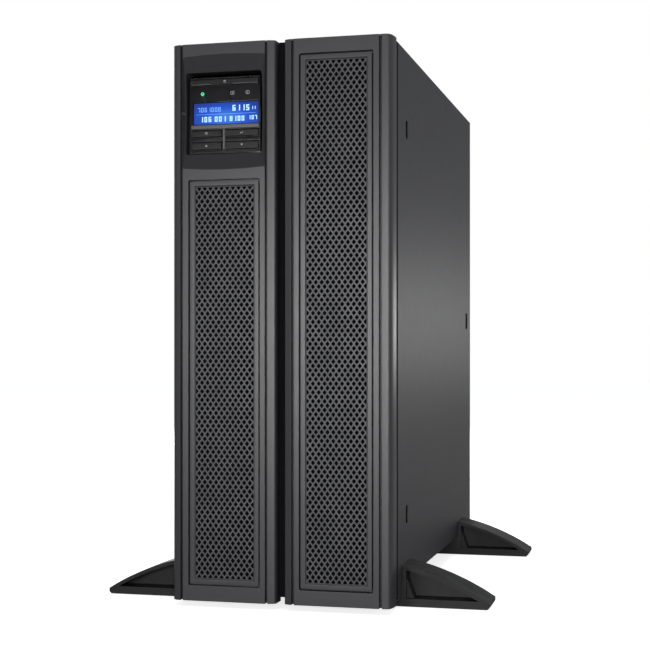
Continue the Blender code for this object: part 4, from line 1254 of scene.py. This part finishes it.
def buildPorts():
    plastic = finishes["socketPlastic"]
    contacts = []
    for node, name in (("outlet_block_upper", "upperOutletBlock"),
                       ("outlet_block_lower", "lowerOutletBlock"),
                       ("outlet_large", "largeOutlet")):
        refine(node, name, plastic, 0.45, 3)
        contacts += outletContacts(node, spans(node)["d"][1])
    makePiece("outletContacts", joined(contacts), finishes["brass"], "chassis", (), "bright_metal")

    refine("power_inlet", "powerInletBody", plastic, 0.5, 3)
    inlet = spans("power_inlet")
    mid, z, face = middle(inlet["x"]), middle(inlet["z"]), inlet["d"][1]
    half, apart = inletLook["half"], inletLook["apart"]
    deep = tuple(face - inside for inside in inletLook["inside"])
    pins = [roundedSlab((x - half, x + half), deep, (z + rise[0], z + rise[1]), 0.5)
            for x, rise in ((mid - apart, inletLook["low"]), (mid + apart, inletLook["low"]),
                            (mid, inletLook["high"]))]
    makePiece("inletPins", joined([softened(pin, 0.25) for pin in pins]), finishes["nickel"],
              "chassis", (), "bright_metal")
    for side in ("left", "right"):
        dark = finishes["breakerPlastic"]
        refine(f"breaker_body_{side}", side + "BreakerBody", dark, 0.4)
        refine(f"breaker_button_{side}", side + "BreakerButton", dark, 0.5, 3)

    refine("comm_ports", "dataPortPanel", plastic, 0.3)
    ports = spans("comm_ports")
    left, face, z = ports["x"][0], ports["d"][1], middle(ports["z"])
    gold = []
    for jack in portLook["jacks"]:
        for i in range(portLook["jackPins"]):
            x = left + jack - 4.1 + i * portLook["jackPitch"]
            gold.append(slab((x, x + 0.5), (face - 11, face - 1.5), (z + 1.9, z + 2.3)))
    near, far = (left + x for x in portLook["square"])
    for i in range(portLook["squarePins"]):
        x = near + 2.2 + i * portLook["squarePitch"]
        gold.append(slab((x, x + 0.8), (face - 6, face - 1.3), (z - 1.75, z - 1.55)))
    makePiece("dataPortContacts", joined(gold), finishes["brass"], "chassis", (), "bright_metal")

    wall = portLook["shield"]
    opening = slab((near + wall, far - wall), (face - 10, face + 2), (z - 3.8, z + 3.8))
    shield = carved(roundedSlab((near, far), (face - 8, face + 0.25), (z - 4.3, z + 4.3), 0.4),
                    [("DIFFERENCE", opening)])
    makePiece("squarePortShield", softened(shield, 0.08), finishes["nickel"], "chassis", (),
              "bright_metal")
    start, short = portLook["terminal"]
    block = slab((left + start, ports["x"][1] - short), (face - 3, face + 0.9),
                 (z - 4.6, z + 4.6))
    holes = [slab((left + x - 1.4, left + x + 1.4), (face - 5, face + 3), (z - 2, z + 2))
             for x in portLook["terminalHoles"]]
    block = carved(softened(block, 0.3), [("DIFFERENCE", joined(holes))])
    makePiece("screwTerminal", block, finishes["terminalGreen"], "chassis", (), "port_plastic")
    lamps = [bar((left + x, z + portLook["lampRise"]), 0.9, (face - 0.5, face + 0.2), 16)
             for x in portLook["lamps"]]
    makePiece("portLamps", joined([softened(shape, 0.15) for shape in lamps]),
              finishes["greenLamp"], "chassis", (), "port_plastic")


def buildBack():
    paint = finishes["chassisPaint"]
    refine("rear_panel", "rearPanelSheet", paint, 0.3)
    for end in ("upper", "lower"):
        refine(f"fan_frame_{end}", end + "FanFrame", finishes["fanPlastic"], 0.4)
        buildGuard(end)
        buildRotor(end)
    buildPorts()

    cover, port = spans("card_slot_cover"), spans("battery_port_cover")
    face = cover["d"][1]
    mid = middle(cover["x"])
    low, half = cover["z"][0], backLook["ribHalf"]
    ribs = [softened(slab((mid - half, mid + half), (face - 0.5, face + 0.9), (z, z + 1.6)), 0.5)
            for z in (low + rise for rise in backLook["ribs"])]
    refine("card_slot_cover", "cardSlotCover", paint, 0.35)
    makePiece("cardSlotRibs", joined(ribs), paint, "chassis", (), "chassis_steel")
    knobs = [knurledKnob((mid, z), 4.2, (face - 0.3, face + 4.5), 22)
             for z in grown(cover["z"], -backLook["knobIn"])]
    makePiece("cardSlotKnobs", joined(knobs), finishes["nickel"], "chassis", (), "bright_metal")
    refine("battery_port_cover", "batteryPortCover", paint, 0.35)

    panel = spans("rear_panel")
    back = panel["d"][1]
    wide = panel["x"][1]
    places = [(x, back, z) for x in (-wide + 5, wide - 5) for z in backLook["panelScrews"]]
    places += [(x, port["d"][1], z) for x in grown(port["x"], -5) for z in grown(port["z"], -6)]
    for end in ("upper", "lower"):
        box = spans(f"fan_frame_{end}")
        places += [(x, back, z) for x in grown(box["x"], -4.5) for z in grown(box["z"], -4.5)]
    inlet = spans("power_inlet")
    places += [(x, inlet["d"][1] - 0.5, middle(inlet["z"])) for x in grown(inlet["x"], -3.6)]
    makePiece("rearScrews", screwRow(places), finishes["steelScrew"], "chassis", (),
              "bright_metal")

    stud = spans("ground_stud")
    centre = (middle(stud["x"]), middle(stud["z"]))
    start, pitch = stud["d"][0] + backLook["nutDeep"], backLook["pitch"]
    nut = softened(bar(centre, backLook["nut"], (stud["d"][0], start), 6), 0.35)
    thread = [bar(centre, backLook["thread"], (start + pitch * i, start + pitch * i + pitch), 20,
                  backLook["threadRoot"]) for i in range(int((stud["d"][1] - start) / pitch))]
    makePiece("groundStud", joined([nut] + thread), finishes["brass"], "chassis", ("ground_stud",))
    print("back built")


# Inside
windingLook = {"x": 4.0, "d": 3.0, "z": 21.0, "edge": 4.0}


def buildInside():
    for node, name in (("main_board", "mainBoardSheet"), ("control_board", "controlBoardSheet")):
        refine(node, name, finishes["circuitBoard"], 0.1)
    refine("heatsink_upper", "upperHeatsink", finishes["aluminium"], 0.25)
    refine("heatsink_lower", "lowerHeatsink", finishes["aluminium"], 0.25)
    refine("capacitor_bank", "capacitorBank", finishes["canSleeve"], 0.8)
    refine("transformer", "transformerCore", finishes["coreSteel"], 0.5)
    core = spans("transformer")
    coil = softened(slab(*(grown(core[way], -windingLook[way]) for way in "xdz")),
                    windingLook["edge"], 4)
    makePiece("transformerWinding", coil, finishes["copperWinding"], "chassis", (), "core_steel")
    print("inside built")


def buildFloor():
    bm = bmesh.new()
    bmesh.ops.create_grid(bm, x_segments=1, y_segments=1, size=8.0,
                          matrix=Matrix.Translation((0, 0, -0.3 * mm)))
    material, tree, shader = startMaterial("studioFloor", (studioLook["floorTone"],) * 3, 0.7)
    tone = studioLook["floorTone"]
    cloud = noiseOf(tree, objectPlace(tree), 400.0, 3.0)
    paper = rampOf(tree, cloud, [(0.3, (tone * 0.995,) * 3), (0.7, (tone,) * 3)])
    seen = addNode(tree, "ShaderNodeLightPath").outputs["Is Camera Ray"]
    mix = addNode(tree, "ShaderNodeMixRGB", {"Fac": seen, "Color2": paper,
                                             "Color1": (*(studioLook["floorReturn"],) * 3, 1.0)})
    tree.links.new(mix.outputs[0], shader.inputs["Base Color"])
    shader.inputs["Specular IOR Level"].default_value = 0.2
    shader.inputs["Emission Color"].default_value = (1.0, 1.0, 1.0, 1.0)
    tree.links.new(rangeOf(tree, seen, 0.0, studioLook["floorGlow"], 0.0, 1.0),
                   shader.inputs["Emission Strength"])
    mesh = bpy.data.meshes.new("studioFloor")
    bm.to_mesh(mesh)
    bm.free()
    mesh.materials.append(material)
    floor = bpy.data.objects.new("studioFloor", mesh)
    scene.collection.objects.link(floor)


buildCamera()
buildStudio()
buildFloor()
buildBezels()
buildGrille("display_grille", "displayGrille", "display_bezel")
buildGrille("battery_grille", "batteryGrille", "battery_bezel")
print("grilles built")
buildPod()
buildChassis()
buildBattery()
buildBack()
buildInside()

print("all pieces ready")
